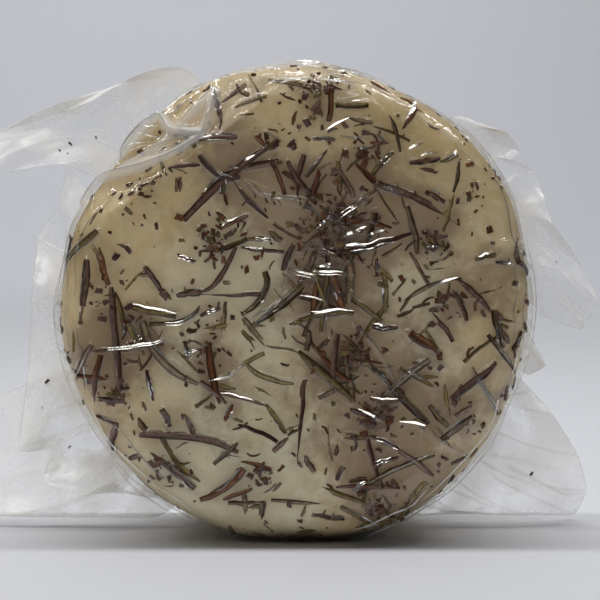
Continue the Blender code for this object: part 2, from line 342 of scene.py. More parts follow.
@dataclass(frozen=True)
class HerbFinish:
    """Dried rosemary of one hue: dark rolled margins and a paler groove between them."""

    name: str
    margin: tuple[float, ...]
    blade: tuple[float, ...]
    faded: tuple[float, ...]
    roughness: float = 0.55
    shine: float = 0.06
    grain: float = 0.15 * MM

    def material(self) -> bpy.types.Material:
        """Streaked along the needle, with each needle's own tone."""
        b = Bench.for_material(self.name)
        tone = b.attribute("tone")
        groove = b.attribute("groove")
        streak = b.noise(1.6 * MM, 4, 0.6, 0.4)
        colour = b.mix(tone, self.blade, self.faded)
        colour = b.mix(streak.ramp(0.40, 0.65) * 0.5, colour, self.margin)
        margin = b.mix(tone * tone * 0.6, self.margin, self.blade)
        colour = b.mix((groove * 1.5).clamped(), margin, colour)
        normal = b.bump(b.noise(0.6 * MM, 3, 0.6), self.grain)
        shader = b.node(
            "ShaderNodeBsdfPrincipled",
            {},
            {"Base Color": colour, "Roughness": self.roughness, "Specular IOR Level": self.shine, "Normal": normal},
        )
        return b.surface(shader)


@dataclass(frozen=True)
class FilmFinish:
    """Clear glossy film: see-through head on, with a shine that grows towards its edges."""

    name: str
    tint: tuple[float, ...]
    haze: float  # share of light that the film scatters, head on
    edge_haze: float  # the same where the film is seen edge on
    roughness: float
    wrinkle: float  # height of its finest wrinkles
    wrinkle_size: float
    gloss: float  # share of the light that both its faces throw back, head on
    crease_haze: float = 0.0  # share that its whitened creases and cut edges scatter
    veins: float = 0.0  # share that its faint whitened lines scatter
    milk: tuple[float, ...] = srgb(236, 235, 231)
    clouds: Blotches = Blotches(14 * MM, 3, 0.5, 0.6, 0.35, 0.65)
    vein_patches: Blotches = Blotches(21 * MM, 2, 0.5, 0.0, 0.48, 0.62)
    vein_sharpness: float = 50.0
    gloss_power: float = 5.0
    haze_power: float = 2.0

    def material(self) -> bpy.types.Material:
        """A see-through layer, a faint milky haze and a mirror gloss on top."""
        b = Bench.for_material(self.name)
        fine = b.noise(self.wrinkle_size, 3, 0.55, 0.8)
        normal = b.bump(fine, self.wrinkle)
        edge = Wire(b, b.node("ShaderNodeLayerWeight", {}, {"Blend": 0.5, "Normal": normal}).outputs["Facing"])
        gloss_share = self.gloss + (edge**self.gloss_power) * (1.0 - self.gloss)
        clear = b.node("ShaderNodeBsdfTransparent", {}, {"Color": self.tint})
        milk = b.node("ShaderNodeBsdfDiffuse", {}, {"Color": self.milk, "Roughness": 0.5})
        cloud = 0.4 + b.blotches(self.clouds) * 1.2
        line = b.maths("ABSOLUTE", b.noise(17 * MM, 2, 0.5, 1.2) - 0.5)
        veins = (1.0 - line * self.vein_sharpness).clamped() * b.blotches(self.vein_patches) * self.veins
        haze = veins + self.haze * cloud + (edge**self.haze_power) * (self.edge_haze - self.haze)
        haze = haze + b.attribute("crease") * self.crease_haze
        shine_values = {"Color": (1, 1, 1, 1), "Roughness": self.roughness, "Normal": normal}
        body = b.blend(haze, clear, milk)
        return b.surface(b.blend(gloss_share, body, b.node("ShaderNodeBsdfAnisotropic", {}, shine_values)))


class Herb(Enum):
    """The hues that the dried rosemary comes in."""

    PLUM = HerbFinish("herb_plum", srgb(42, 25, 21), srgb(92, 67, 58), srgb(140, 115, 102))
    OLIVE = HerbFinish("herb_olive", srgb(46, 34, 18), srgb(104, 88, 54), srgb(150, 134, 92))
    GREY = HerbFinish("herb_grey", srgb(44, 32, 22), srgb(98, 80, 60), srgb(148, 130, 104))
    RUST = HerbFinish("herb_rust", srgb(48, 25, 15), srgb(98, 59, 39), srgb(140, 100, 72))


class Side(IntEnum):
    """The halves of the wheel, by the sign of their Y."""

    FRONT = -1
    BACK = 1


@dataclass(frozen=True)
class Wheel:
    """The bare wheel's surface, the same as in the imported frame.

    A face is unrolled: (across, up) is measured along the surface from the face's middle, so it is plain x and z on
    the flat face and goes on over the shoulder to the middle of the rim.
    """

    radius: float = 59.8 * MM
    oval: float = 0.45 * MM  # how much taller than wide it is, at the rim
    thickness: float = 52 * MM
    shoulder: float = 10 * MM
    flat_sag: float = 0.4 * MM
    film_room: float = 0.9 * MM
    lump_height: float = 0.8 * MM
    lump_size: float = 19 * MM
    dish: float = 1.6 * MM
    dish_radius: float = 30 * MM
    corner_angle: float = 127.0
    corner_lean: float = 48.0
    corner_start: float = 46 * MM
    swells: tuple[tuple[float, float, float], ...] = (
        (142, 17, -2.4 * MM),
        (292, 20, 1.3 * MM),
        (32, 22, 1.1 * MM),
    )

    @property
    def centre_height(self) -> float:
        """The wheel's middle above the floor."""
        return self.radius - self.flat_sag + self.film_room

    def rim_radius(self, angle: np.ndarray) -> np.ndarray:
        """The radius at each rim angle, in radians from the right.

        Args:
            angle: the rim angles.

        Returns:
            The radii.
        """
        radius = self.radius - self.oval * np.cos(2 * angle)
        for middle, half_width, height in self.swells:
            away = (np.degrees(angle) - middle + 180) % 360 - 180
            radius += height * np.exp(-((away / half_width) ** 2))
        return radius

    def reach(self, angle: np.ndarray) -> np.ndarray:
        """How far it is along the surface from the face's middle to the middle of the rim."""
        return self.rim_radius(angle) + self.shoulder * (math.pi / 2 - 2) + self.thickness / 2

    @property
    def level_reach(self) -> float:
        """The reach straight to the right."""
        return float(self.reach(np.array([0.0]))[0])

    def points(self, across: np.ndarray, up: np.ndarray, side: Side, lift: np.ndarray | float) -> np.ndarray:
        """Places on the wheel.

        Args:
            across: unrolled distance to the right of the face's middle.
            up: unrolled distance above it.
            side: which half.
            lift: height off the cheese.

        Returns:
            World coordinates, one row a point.
        """
        across, up = np.asarray(across, float), np.asarray(up, float)
        angle = np.arctan2(up, across)
        along = np.hypot(across, up)
        flat = self.rim_radius(angle) - self.shoulder
        turn = np.clip((along - flat) / self.shoulder, 0, math.pi / 2)
        past = np.maximum(along - flat - self.shoulder * math.pi / 2, 0)
        radius = np.minimum(along, flat) + self.shoulder * np.sin(turn)
        depth = self.shoulder * (1 - np.cos(turn)) + past
        outwards = np.stack([np.cos(angle), np.zeros_like(angle), np.sin(angle)], axis=-1)
        normal = outwards * np.sin(turn)[..., None]
        normal[..., 1] = side * np.cos(turn)
        point = outwards * radius[..., None]
        point[..., 1] = side * (self.thickness / 2 - depth)
        flat_points = (point / self.lump_size).reshape(-1, 3)
        lumps = np.array([noise.noise(Vector(p)) for p in flat_points]).reshape(radius.shape)
        point = point + normal * (lumps * self.lump_height)[..., None]
        if side == Side.FRONT:
            point[..., 1] += self.dish * np.exp(-((radius / self.dish_radius) ** 2))
        point = self.pressed(point) + normal * np.asarray(lift)[..., None]
        floor = -self.centre_height + self.film_room - np.asarray(lift)
        point[..., 2] = np.maximum(point[..., 2], np.maximum(floor, -self.centre_height))
        point[..., 2] += self.centre_height
        return point

    def pressed(self, point: np.ndarray) -> np.ndarray:
        """The points after the pressed corner at the upper left has taken away what stood beyond it.

        Args:
            point: points off the wheel's middle, one row each.

        Returns:
            The points, those beyond the corner drawn back to it.
        """
        around, lean = math.radians(self.corner_angle), math.radians(self.corner_lean)
        outwards = np.array([math.cos(around), 0, math.sin(around)])
        normal = outwards * math.cos(lean) - np.array([0, math.sin(lean), 0])
        edge = outwards * self.corner_start - np.array([0, self.thickness / 2, 0])
        beyond = np.maximum((point - edge) @ normal, 0)
        return point - beyond[..., None] * normal


WHEEL = Wheel()


def spoke(angle: float) -> np.ndarray:
    """The unit step (across, up) at an angle."""
    return np.array([math.cos(angle), math.sin(angle)])


def sampled(path: np.ndarray, share: np.ndarray) -> np.ndarray:
    """Points at shares of a path's length, where 0 is its first row and 1 its last."""
    ticks = np.linspace(0, 1, len(path))
    return np.stack([np.interp(share, ticks, column) for column in path.T], axis=-1)


def unit_rows(rows: np.ndarray) -> np.ndarray:
    """The rows, each made one long."""
    return rows / np.maximum(np.linalg.norm(rows, axis=1), TINY)[:, None]


class Field:
    """Heights over one unrolled half of the wheel: what lies on the cheese, and the film stretched over it."""

    reach = 84 * MM
    cell = 0.25 * MM
    pull = 700.0  # how hard the vacuum bends the film, as the second derivative that it can hold, a metre

    def __init__(self) -> None:
        """Starts bare."""
        count = int(2 * self.reach / self.cell) + 1
        ticks = np.linspace(-self.reach, self.reach, count)
        self.across, self.up = np.meshgrid(ticks, ticks, indexing="ij")
        self.pile = np.zeros_like(self.across)
        self.film = self.pile
        self.white = np.zeros_like(self.across)

    def read(self, grid: np.ndarray, across: np.ndarray, up: np.ndarray) -> np.ndarray:
        """Reads a grid of heights between its cells.

        Args:
            grid: the heights.
            across: where to read, to the right.
            up: where to read, upwards.

        Returns:
            The height at each place.
        """
        last = grid.shape[0] - 1.001
        i = np.clip((np.asarray(across) + self.reach) / self.cell, 0, last)
        j = np.clip((np.asarray(up) + self.reach) / self.cell, 0, last)
        i0, j0 = i.astype(int), j.astype(int)
        di, dj = i - i0, j - j0
        low = grid[i0, j0] * (1 - dj) + grid[i0, j0 + 1] * dj
        high = grid[i0 + 1, j0] * (1 - dj) + grid[i0 + 1, j0 + 1] * dj
        return low * (1 - di) + high * di

    def lay(
        self, path: np.ndarray, half_width: np.ndarray, top: np.ndarray, sharp: float = 0.5,
        grid: np.ndarray | None = None,
    ) -> None:
        """Raises the pile, or another grid, along a path.

        Args:
            path: points as rows of (across, up).
            half_width: half the thing's width at each point.
            top: height of its top at each point.
            sharp: power of its cross-section's roundness, 0.5 for a round bar.
            grid: the grid to raise, by default the pile.
        """
        grid = self.pile if grid is None else grid
        margin = float(half_width.max()) + self.cell
        low = ((path.min(0) - margin + self.reach) / self.cell).astype(int)
        high = ((path.max(0) + margin + self.reach) / self.cell).astype(int) + 2
        window = tuple(slice(max(a, 0), b) for a, b in zip(low, high))
        across, up = self.across[window], self.up[window]
        best = grid[window]
        for (x0, z0), (x1, z1), w0, w1, t0, t1 in zip(path, path[1:], half_width, half_width[1:], top, top[1:]):
            dx, dz = x1 - x0, z1 - z0
            share = ((across - x0) * dx + (up - z0) * dz) / max(dx * dx + dz * dz, TINY_SQUARE)
            share = np.clip(share, 0, 1)
            away = np.hypot(across - x0 - share * dx, up - z0 - share * dz)
            width, height = w0 + (w1 - w0) * share, t0 + (t1 - t0) * share
            rise = np.clip(1 - (away / width) ** 2, 0, 1) ** sharp
            best = np.maximum(best, height * rise)
        grid[window] = best

    @staticmethod
    def blurred(grid: np.ndarray, strides: tuple[int, ...] = (2, 3, 6, 13, 10, 6, 3, 2)) -> np.ndarray:
        """A grid smoothed by averaging each cell with cells ever farther off and back again.

        Args:
            grid: the grid.
            strides: how far off the cells of each round are.

        Returns:
            The smoothed grid.
        """
        out = grid.astype(float)
        for stride in strides:
            near = sum(np.roll(out, step, axis) for step in (-stride, stride) for axis in (0, 1))
            out = (out * 2 + near) / 6
        return out

    def stretch(self, rounds: int = 320) -> None:
        """Draws the film over the pile: a skin under tension that the vacuum pulls down and the pile holds up.

        Args:
            rounds: how often it is evened out.
        """
        film = self.pile.copy()
        drop = self.pull * self.cell**2 / 4
        for _ in range(rounds):
            near = np.roll(film, 1, 0) + np.roll(film, -1, 0) + np.roll(film, 1, 1) + np.roll(film, -1, 1)
            film = np.maximum(self.pile, near / 4 - drop)
        self.film = film


def finish_piece(
    mesh: bpy.types.Mesh, name: str, material: bpy.types.Material, slot: str, *nodes: str, smooth: bool = True
) -> bpy.types.Object:
    """Makes a mesh a piece of the object.

    Args:
        mesh: its mesh, already in place.
        name: the piece's name.
        material: its finish.
        slot: the record's material slot that it stands under; not used.
        nodes: the frame's nodes that it stands for.
        smooth: whether its faces are shaded as one rounded surface.

    Returns:
        The piece.
    """
    mesh.materials.clear()
    mesh.materials.append(material)
    mesh.polygons.foreach_set("use_smooth", [smooth] * len(mesh.polygons))
    piece = bpy.data.objects.new(name, mesh)
    bpy.context.scene.collection.objects.link(piece)
    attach(piece, "root")
    if nodes:
        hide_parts(*nodes)
    LOG.info("%s: %d faces", name, len(mesh.polygons))
    return piece


def mesh_from(bm: bmesh.types.BMesh, name: str) -> bpy.types.Mesh:
    """Turns a bmesh into a mesh and frees it."""
    mesh = bpy.data.meshes.new(name)
    bm.to_mesh(mesh)
    bm.free()
    return mesh


def bar_template(sides: int, lengths: int, name: str, turn: Matrix | None = None) -> bpy.types.Mesh:
    """A straight bar of unit length and width.

    Args:
        sides: how many sides it has.
        lengths: how many lengths it is cut into.
        name: the mesh's name.
        turn: how it is turned from lying along Z.

    Returns:
        The mesh.
    """
    bm = bmesh.new()
    bmesh.ops.create_cone(
        bm, cap_ends=True, segments=sides, radius1=0.5, radius2=0.5, depth=1, matrix=turn or Matrix.Identity(4)
    )
    long_edges = [e for e in bm.edges if e.calc_length() > 0.9]
    bmesh.ops.subdivide_edges(bm, edges=long_edges, cuts=lengths - 1)
    return mesh_from(bm, name)


def vertex_places(mesh: bpy.types.Mesh) -> np.ndarray:
    """The mesh's vertices, one row each."""
    flat = np.empty(len(mesh.vertices) * 3)
    mesh.vertices.foreach_get("co", flat)
    return flat.reshape(-1, 3)


def move_vertices(mesh: bpy.types.Mesh, places: np.ndarray) -> None:
    """Puts the mesh's vertices at the places given."""
    mesh.vertices.foreach_set("co", places.ravel())
    mesh.update()


def keep_number(mesh: bpy.types.Mesh, name: str, values: np.ndarray) -> None:
    """Keeps a number on each vertex for the finish to read."""
    mesh.attributes.new(name, "FLOAT", "POINT").data.foreach_set("value", values.astype(float))


def finish_herb(
    bm: bmesh.types.BMesh, name: str, herb: Herb, places: np.ndarray, tones: np.ndarray, grooves: np.ndarray,
    smooth: bool = False,
) -> None:
    """Makes a piece of the herb.

    Args:
        bm: its faces.
        name: the piece's name.
        herb: its hue.
        places: its vertices.
        tones: how pale it is at each vertex, 0 to 1.
        grooves: 1 in the groove of a needle and 0 on its margin, at each vertex.
        smooth: whether its faces are shaded as one rounded surface.
    """
    mesh = mesh_from(bm, name)
    move_vertices(mesh, places)
    keep_number(mesh, "tone", tones)
    keep_number(mesh, "groove", grooves)
    finish_piece(mesh, name, herb.value.material(), "cheese", "goat_cheese", smooth=smooth)


def square_to_disc(square: np.ndarray) -> np.ndarray:
    """Bends a square grid of -1 to 1 into a round one of radius 1, smoothly up to its rim."""
    u, v = square[:, 0], square[:, 1]
    return np.stack([u * np.sqrt(1 - v * v / 2), v * np.sqrt(1 - u * u / 2)], axis=-1)


def half_skin(cells: int, side: Side, name: str, part: int = 0) -> tuple[bpy.types.Mesh, np.ndarray]:
    """A round grid for one half of the wheel, finer on the face than on the rim.

    Args:
        cells: cells from one side of the grid to the other.
        side: which half.
        name: the mesh's name.
        part: 1 for what lies above the face's middle, -1 for what lies below it, 0 for all of it.

    Returns:
        The mesh, and each vertex's unrolled place as (across, up).
    """
    bm = bmesh.new()
    bmesh.ops.create_grid(bm, x_segments=cells, y_segments=cells // 2 if part else cells, size=1)
    if side == Side.BACK:
        bmesh.ops.reverse_faces(bm, faces=bm.faces)
    mesh = mesh_from(bm, name)
    square = np.clip(vertex_places(mesh)[:, :2], -1, 1)
    if part:
        square[:, 1] = (square[:, 1] + part) / 2
    disc = square_to_disc(square)
    disc *= (FACE_FINENESS + (1 - FACE_FINENESS) * (disc**2).sum(1))[:, None]
    angle = np.arctan2(disc[:, 1], disc[:, 0])
    return mesh, disc * WHEEL.reach(angle)[:, None]


# Zones of the face where the curd is stained greyer round the herbs, with painted shade at the upper rim; negative
# amounts brighten, and near the bottom they are painted light. The middle by the FaceMap, radius in millimetres, and
# how much.
# The scattered needles read them, so a change here moves those too
DULL_SHADE_AND_LIGHT_ZONES = (
    (226, 128, 10, 0.6), (262, 70, 14, 0.45), (330, 70, 12, 0.3), (496, 262, 9, 0.35), (462, 300, 8, 0.3),
    (322, 212, 13, 0.9), (412, 212, 11, 0.7), (214, 352, 8, 0.6), (248, 186, 10, 0.7), (292, 188, 9, 0.6),
    (400, 432, 20, 0.75), (362, 362, 13, 0.45), (352, 492, 15, 0.55), (432, 488, 10, 0.5), (240, 402, 15, 0.2),
    (196, 440, 11, 0.45), (108, 342, 10, 0.6), (120, 424, 9, 0.5), (480, 392, 8, 0.4), (404, 228, 11, 0.4),
    (142, 312, 8, 0.35), (372, 168, 8, 0.4), (344, 272, 9, 0.6), (270, 330, 12, 0.25), (440, 330, 10, 0.1),
    (484, 282, 9, 0.5), (110, 360, 8, 0.5), (96, 330, 7, 0.5), (300, 120, 12, -0.5), (140, 224, 15, -0.7),
    (246, 268, 8, -0.5), (404, 270, 8, -0.4), (256, 336, 8, -0.5), (322, 436, 7, -0.1), (222, 508, 15, -1.2),
    (150, 445, 12, -0.9), (330, 505, 10, -0.6), (484, 330, 8, -0.3),
)

# Zones of the face where the curd is palest, near the bottom as painted light, and tan ones, partly tan curd and partly
# painted shade on the pressed corner and upper rim, in the same form
PALE_AND_LIT_ZONES = (
    (300, 318, 18, 0.5), (404, 272, 13, 0.8), (246, 262, 13, 0.7), (240, 330, 12, 0.5), (236, 512, 15, 1.1),
    (152, 470, 13, 0.9), (322, 432, 12, 0.2), (470, 432, 12, 0.5), (216, 366, 13, 0.5), (300, 520, 13, 0.8),
    (120, 300, 10, 0.2), (262, 112, 9, 0.3),
)
# tan zones: painted shade on the pressed corner and upper rim, which face the light, and tan curd elsewhere
TAN_AND_SHADE_ZONES = (
    (132, 168, 15, 0.4), (172, 118, 14, 0.45), (430, 128, 16, 0.7), (492, 210, 13, 0.25), (330, 96, 12, 0.35),
    (500, 300, 12, 0.3), (395, 130, 10, 0.3), (205, 200, 9, 0.3), (90, 230, 10, 0.25),
)


def zoned(zones: tuple[tuple[float, ...], ...], across: np.ndarray, up: np.ndarray) -> np.ndarray:
    """The sum of soft round zones at each unrolled place of the face.

    Args:
        zones: rows of a middle by the FaceMap, a radius in millimetres and an amount.
        across: distance to the right of the face's middle.
        up: distance above it.

    Returns:
        The sum at each place.
    """
    total = np.zeros_like(across)
    for right, down, radius, amount in zones:
        x, z = FACE.unroll(right, down)
        total += amount * np.exp(-((across - x) ** 2 + (up - z) ** 2) / (radius * MM) ** 2)
    return total


@dataclass
class CheeseBody:
    """The wheel of curd."""

    fields: dict[Side, Field]
    cells: int = 200
    pale_middle: tuple[float, float] = (2 * MM, -8 * MM)
    pale_from: float = 18 * MM
    pale_to: float = 46 * MM
    full_stain: float = 0.7 * MM  # height of herb that stains the curd as dark as it gets
    whey: float = 4 * MM  # how high the painted shade stands where the wheel meets the floor
    whey_middle: float = 14 * MM  # how far to the right its middle lies
    whey_reach: float = 34 * MM
    far_strides: tuple[int, ...] = (13, 26, 32, 19, 10)  # blurs the cover of herbs to their surroundings
    near_none: float = 0.09  # the cover that leaves no stain
    near_gain: float = 1.35
    near_most: float = 0.9
    far_none: float = 0.12  # the surroundings that leave the curd bright
    far_gain: dict[Side, float] = field(default_factory=lambda: {Side.FRONT: 1.7, Side.BACK: 2.7})
    tan_from: float = 0.66  # share of the reach where the tan begins
    tan_gain: float = 4.0
    tan_most: float = 0.75
    finish: CurdFinish = field(default_factory=CurdFinish)

    def build(self) -> None:
        """Makes both halves of the wheel and closes them at the rim."""
        bm = bmesh.new()
        for side in Side:
            mesh, unrolled = half_skin(self.cells, side, f"cheese_half_{side}")
            across, up = unrolled[:, 0], unrolled[:, 1]
            heights = self.fields[side]
            cover = Field.blurred(np.minimum(heights.pile, self.full_stain)) / self.full_stain
            near = heights.read(cover, across, up)
            far = heights.read(Field.blurred(cover, self.far_strides), across, up)
            off = np.hypot(across - self.pale_middle[0], up - self.pale_middle[1])
            front = float(side == Side.FRONT)
            # the zones add painted shade at the upper rim and painted light near the bottom
            dull = (far - self.far_none) * self.far_gain[side] + zoned(DULL_SHADE_AND_LIGHT_ZONES, across, up) * front
            # the pale zones make the curd paler, near the bottom as painted light
            warm = (off - self.pale_from) / (self.pale_to - self.pale_from) - zoned(PALE_AND_LIT_ZONES, across, up) * front
            share = np.hypot(across, up) / WHEEL.reach(np.arctan2(up, across))
            tan = np.clip((share - self.tan_from) * self.tan_gain, 0, self.tan_most)
            # the tan zones add painted shade on the pressed corner and upper rim
            tan = tan + zoned(TAN_AND_SHADE_ZONES, across, up) * front
            places = WHEEL.points(across, up, side, 0.0)
            # painted shade low on the wheel where it meets the floor, strongest right of the middle
            aside = (places[:, 0] - self.whey_middle) / self.whey_reach
            foot = np.clip((1 - places[:, 2] / self.whey) * 1.6, 0, 1) * np.clip(1.3 - aside**2, 0, 1)
            keep_number(mesh, "dull", np.clip(dull, 0, 1))
            keep_number(mesh, "stain", np.clip((near - self.near_none) * self.near_gain, 0, self.near_most))
            keep_number(mesh, "foot", foot)
            keep_number(mesh, "warm", np.clip(warm, 0, 1))
            keep_number(mesh, "tan", np.clip(tan, 0, 1))
            move_vertices(mesh, places)
            bm.from_mesh(mesh)
            bpy.data.meshes.remove(mesh)
        bmesh.ops.remove_doubles(bm, verts=bm.verts, dist=0.01 * MM)
        bmesh.ops.recalc_face_normals(bm, faces=bm.faces)
        finish_piece(mesh_from(bm, "cheese_body"), "cheese_body", self.finish.material(), "cheese", "goat_cheese")


@dataclass(frozen=True)
class Needle:
    """One needle of rosemary by its path over an unrolled half of the wheel."""

    path: np.ndarray
    width: float
    height: float
    tone: float
    ends: tuple[float, float]
    under: np.ndarray
    sink: np.ndarray  # share of its height that lies in the curd, at each point of its path
    uneven: int


@dataclass(frozen=True)
class FaceMap:
    """Places on the front face, counted in quarter millimetres to the right of and down from a corner."""

    middle: tuple[float, float] = (294.0, 301.0)
    step: float = 0.25 * MM
    edge_scale: float = 1.008  # the shoulder lies farther back and looks smaller by this
    edge_limit: float = 0.97  # how far over the shoulder a place may lie, as the sine of its turn

    def unroll(self, right: float, down: float) -> tuple[float, float]:
        """The unrolled place on the wheel that is seen at such a place of the face.

        Args:
            right: quarter millimetres to the right.
            down: quarter millimetres down.

        Returns:
            The unrolled place as (across, up).
        """
        x, z = (right - self.middle[0]) * self.step, (self.middle[1] - down) * self.step
        seen, angle = math.hypot(x, z), math.atan2(z, x)
        rim = float(WHEEL.rim_radius(np.array([angle]))[0])
        flat = rim - WHEEL.shoulder
        if seen <= flat:
            return x, z
        turn = math.asin(min((seen * self.edge_scale - flat) / WHEEL.shoulder, self.edge_limit))
        along = flat + WHEEL.shoulder * turn
        return along * math.cos(angle), along * math.sin(angle)

    def path(self, places: tuple[float, ...]) -> np.ndarray:
        """The unrolled points of a row of places, right and down in turn."""
        return np.array([self.unroll(*places[i : i + 2]) for i in range(0, len(places), 2)])


FACE = FaceMap()
P, O, G, R = Herb.PLUM, Herb.OLIVE, Herb.GREY, Herb.RUST

# The needles that show on the face: hue, width in millimetres, then two or three points of the FaceMap
FACE_NEEDLES = (
    (P, 1.9, 276, 138, 232, 170, 185, 215), (P, 1.1, 167, 161, 200, 160), (P, 0.8, 177, 173, 177, 187),
    (P, 0.8, 181, 172, 181, 187), (P, 1.3, 200, 150, 219, 170, 240, 172), (R, 1.2, 271, 156, 287, 191),
    (P, 1.2, 283, 166, 306, 181), (P, 1.3, 288, 156, 310, 189), (P, 1.3, 328, 145, 305, 171),
    (R, 1.3, 312, 191, 319, 165), (O, 1.5, 338, 156, 338, 200), (R, 1.4, 350, 149, 379, 179),
    (O, 1.3, 372, 170, 393, 148), (G, 1.5, 379, 102, 392, 122, 400, 147), (R, 1.5, 370, 79, 400, 94),
    (O, 1.3, 335, 102, 367, 101), (O, 1.2, 231, 98, 267, 94), (P, 1.2, 215, 91, 243, 77), (G, 1.3, 211, 93, 217, 122),
    (G, 1.2, 313, 79, 320, 94), (P, 1.2, 311, 106, 322, 97), (R, 1.3, 324, 91, 333, 84), (P, 1.2, 313, 134, 335, 135),
    (R, 1.2, 256, 131, 266, 139), (R, 1.2, 400, 94, 414, 102, 405, 120), (P, 1.2, 409, 156, 438, 153),
    (O, 1.2, 438, 158, 455, 150), (P, 1.2, 419, 163, 438, 166), (P, 1.9, 380, 180, 429, 200, 475, 234),
    (R, 1.6, 426, 185, 445, 196), (R, 2.4, 98, 224, 104, 252, 111, 279), (P, 1.6, 89, 255, 84, 301),
    (R, 0.7, 84, 302, 82, 320), (P, 1.9, 110, 282, 115, 330, 121, 385), (O, 1.2, 115, 287, 122, 306, 126, 327),
    (O, 1.4, 125, 298, 150, 306, 176, 311), (G, 1.3, 149, 319, 184, 315, 200, 301),
    (G, 1.6, 144, 316, 164, 356, 199, 377), (P, 1.4, 145, 261, 166, 287), (R, 1.1, 177, 249, 196, 256),
    (P, 1.3, 147, 365, 154, 396), (P, 1.9, 76, 375, 92, 339), (O, 1.2, 75, 317, 76, 347), (P, 1.2, 99, 391, 124, 395),
    (R, 1.2, 119, 345, 133, 338), (P, 1.5, 176, 290, 200, 287), (R, 0.9, 184, 336, 189, 352),
    (G, 1.3, 274, 218, 308, 238), (P, 1.8, 330, 246, 372, 240, 430, 219), (P, 1.5, 294, 240, 284, 266),
    (G, 1.3, 288, 265, 322, 275), (O, 1.3, 315, 268, 329, 303), (R, 1.9, 333, 266, 344, 302),
    (G, 1.9, 350, 254, 348, 299), (O, 1.6, 299, 315, 326, 308, 354, 308), (O, 1.4, 289, 319, 302, 318),
    (O, 1.9, 256, 317, 282, 297, 302, 279), (G, 1.5, 243, 313, 269, 344), (O, 1.4, 266, 266, 266, 289, 243, 312),
    (P, 1.3, 200, 289, 261, 288), (P, 1.2, 241, 242, 284, 247), (O, 1.1, 248, 234, 273, 234),
    (P, 1.5, 236, 242, 219, 275, 200, 287), (O, 1.6, 210, 247, 247, 233), (R, 1.2, 217, 206, 227, 215),
    (P, 1.2, 220, 224, 248, 210), (P, 1.1, 294, 292, 310, 288), (P, 1.1, 200, 311, 220, 303),
    (O, 1.4, 247, 358, 264, 371, 294, 377), (O, 1.8, 298, 347, 322, 368, 352, 395),
    (R, 1.5, 305, 330, 335, 366, 352, 375), (G, 1.5, 339, 326, 357, 342, 376, 366), (G, 1.3, 376, 366, 391, 382),
    (O, 1.2, 384, 268, 385, 308), (P, 1.2, 377, 252, 378, 271), (P, 1.3, 370, 395, 400, 395),
    (P, 1.8, 308, 376, 301, 400, 297, 490), (P, 1.4, 200, 376, 225, 400), (O, 1.2, 424, 243, 445, 243),
    (P, 1.6, 515, 242, 517, 260), (P, 1.2, 494, 257, 511, 259), (G, 1.6, 400, 299, 427, 282, 462, 274),
    (P, 1.1, 410, 247, 427, 279), (P, 1.4, 451, 282, 469, 315), (G, 1.8, 494, 305, 500, 343),
    (O, 1.2, 464, 357, 494, 331), (P, 2.0, 452, 395, 476, 374, 494, 357), (P, 1.4, 511, 345, 521, 326),
    (R, 2.2, 410, 328, 438, 345), (O, 1.4, 400, 363, 436, 385), (P, 1.2, 507, 380, 505, 395),
    (R, 1.2, 96, 411, 119, 419), (P, 1.9, 119, 418, 106, 451), (P, 1.6, 140, 428, 200, 433, 238, 448),
    (O, 1.6, 163, 433, 178, 458, 200, 477), (P, 1.5, 162, 404, 170, 422), (R, 1.3, 184, 409, 195, 432),
    (P, 1.3, 129, 455, 144, 446), (P, 1.6, 232, 417, 277, 438), (P, 1.5, 289, 434, 273, 447),
    (R, 1.1, 224, 416, 233, 400), (O, 1.4, 266, 400, 285, 429), (G, 1.4, 213, 460, 237, 438),
    (R, 1.2, 241, 456, 270, 465), (R, 1.6, 200, 494, 225, 484, 243, 464), (R, 1.2, 223, 493, 251, 482),
    (G, 1.4, 259, 516, 262, 497), (O, 1.4, 308, 479, 334, 488, 366, 498), (G, 1.4, 271, 496, 344, 502),
    (P, 1.2, 312, 508, 344, 511), (R, 1.4, 336, 482, 400, 482), (O, 1.4, 340, 501, 387, 524),
    (P, 1.4, 350, 404, 380, 412), (P, 1.4, 368, 431, 400, 445), (P, 1.3, 375, 460, 400, 453),
    (O, 1.3, 345, 431, 367, 433), (P, 1.2, 337, 440, 336, 451), (P, 1.2, 336, 476, 343, 462),
    (O, 1.2, 297, 530, 315, 525), (O, 1.5, 431, 400, 450, 420), (P, 1.2, 455, 411, 471, 400),
    (G, 1.5, 441, 434, 471, 410), (P, 1.5, 400, 446, 434, 469), (G, 1.4, 451, 459, 471, 450),
    (G, 1.4, 448, 483, 455, 471), (O, 1.4, 428, 479, 418, 487, 400, 516), (P, 1.3, 360, 418, 398, 402),
    (P, 1.4, 322, 200, 352, 226), (P, 1.4, 336, 222, 366, 206), (P, 1.3, 300, 246, 328, 222),
    (P, 1.5, 322, 214, 330, 262), (P, 1.2, 312, 240, 352, 258), (R, 1.2, 346, 214, 392, 222),
)

# Places where crumbs of the herb lie in a heap: the middle by the FaceMap, its radius in millimetres, and how many
CRUMB_HEAPS = (
    (335, 215, 10, 60), (366, 147, 4, 16), (210, 237, 5, 20), (145, 180, 5, 8), (375, 412, 7, 32), (430, 240, 4, 12),
    (205, 340, 6, 12), (168, 467, 5, 10), (104, 300, 6, 10), (448, 296, 4, 10), (320, 90, 8, 20), (260, 470, 5, 12),
    (355, 345, 6, 20), (125, 385, 6, 14), (390, 500, 7, 20), (290, 130, 6, 12), (478, 424, 3, 4), (470, 190, 4, 8),
)


@dataclass(frozen=True)
class Scatter:
    """Needles spread at random over a ring of one half of the wheel."""

    side: Side
    count: int
    first: float  # share of the reach where they begin
    last: float  # share of the reach where they end
    faded: bool = False  # thin and pale, and almost wholly in the curd
    dull_only: bool = False  # kept to where the curd is dull


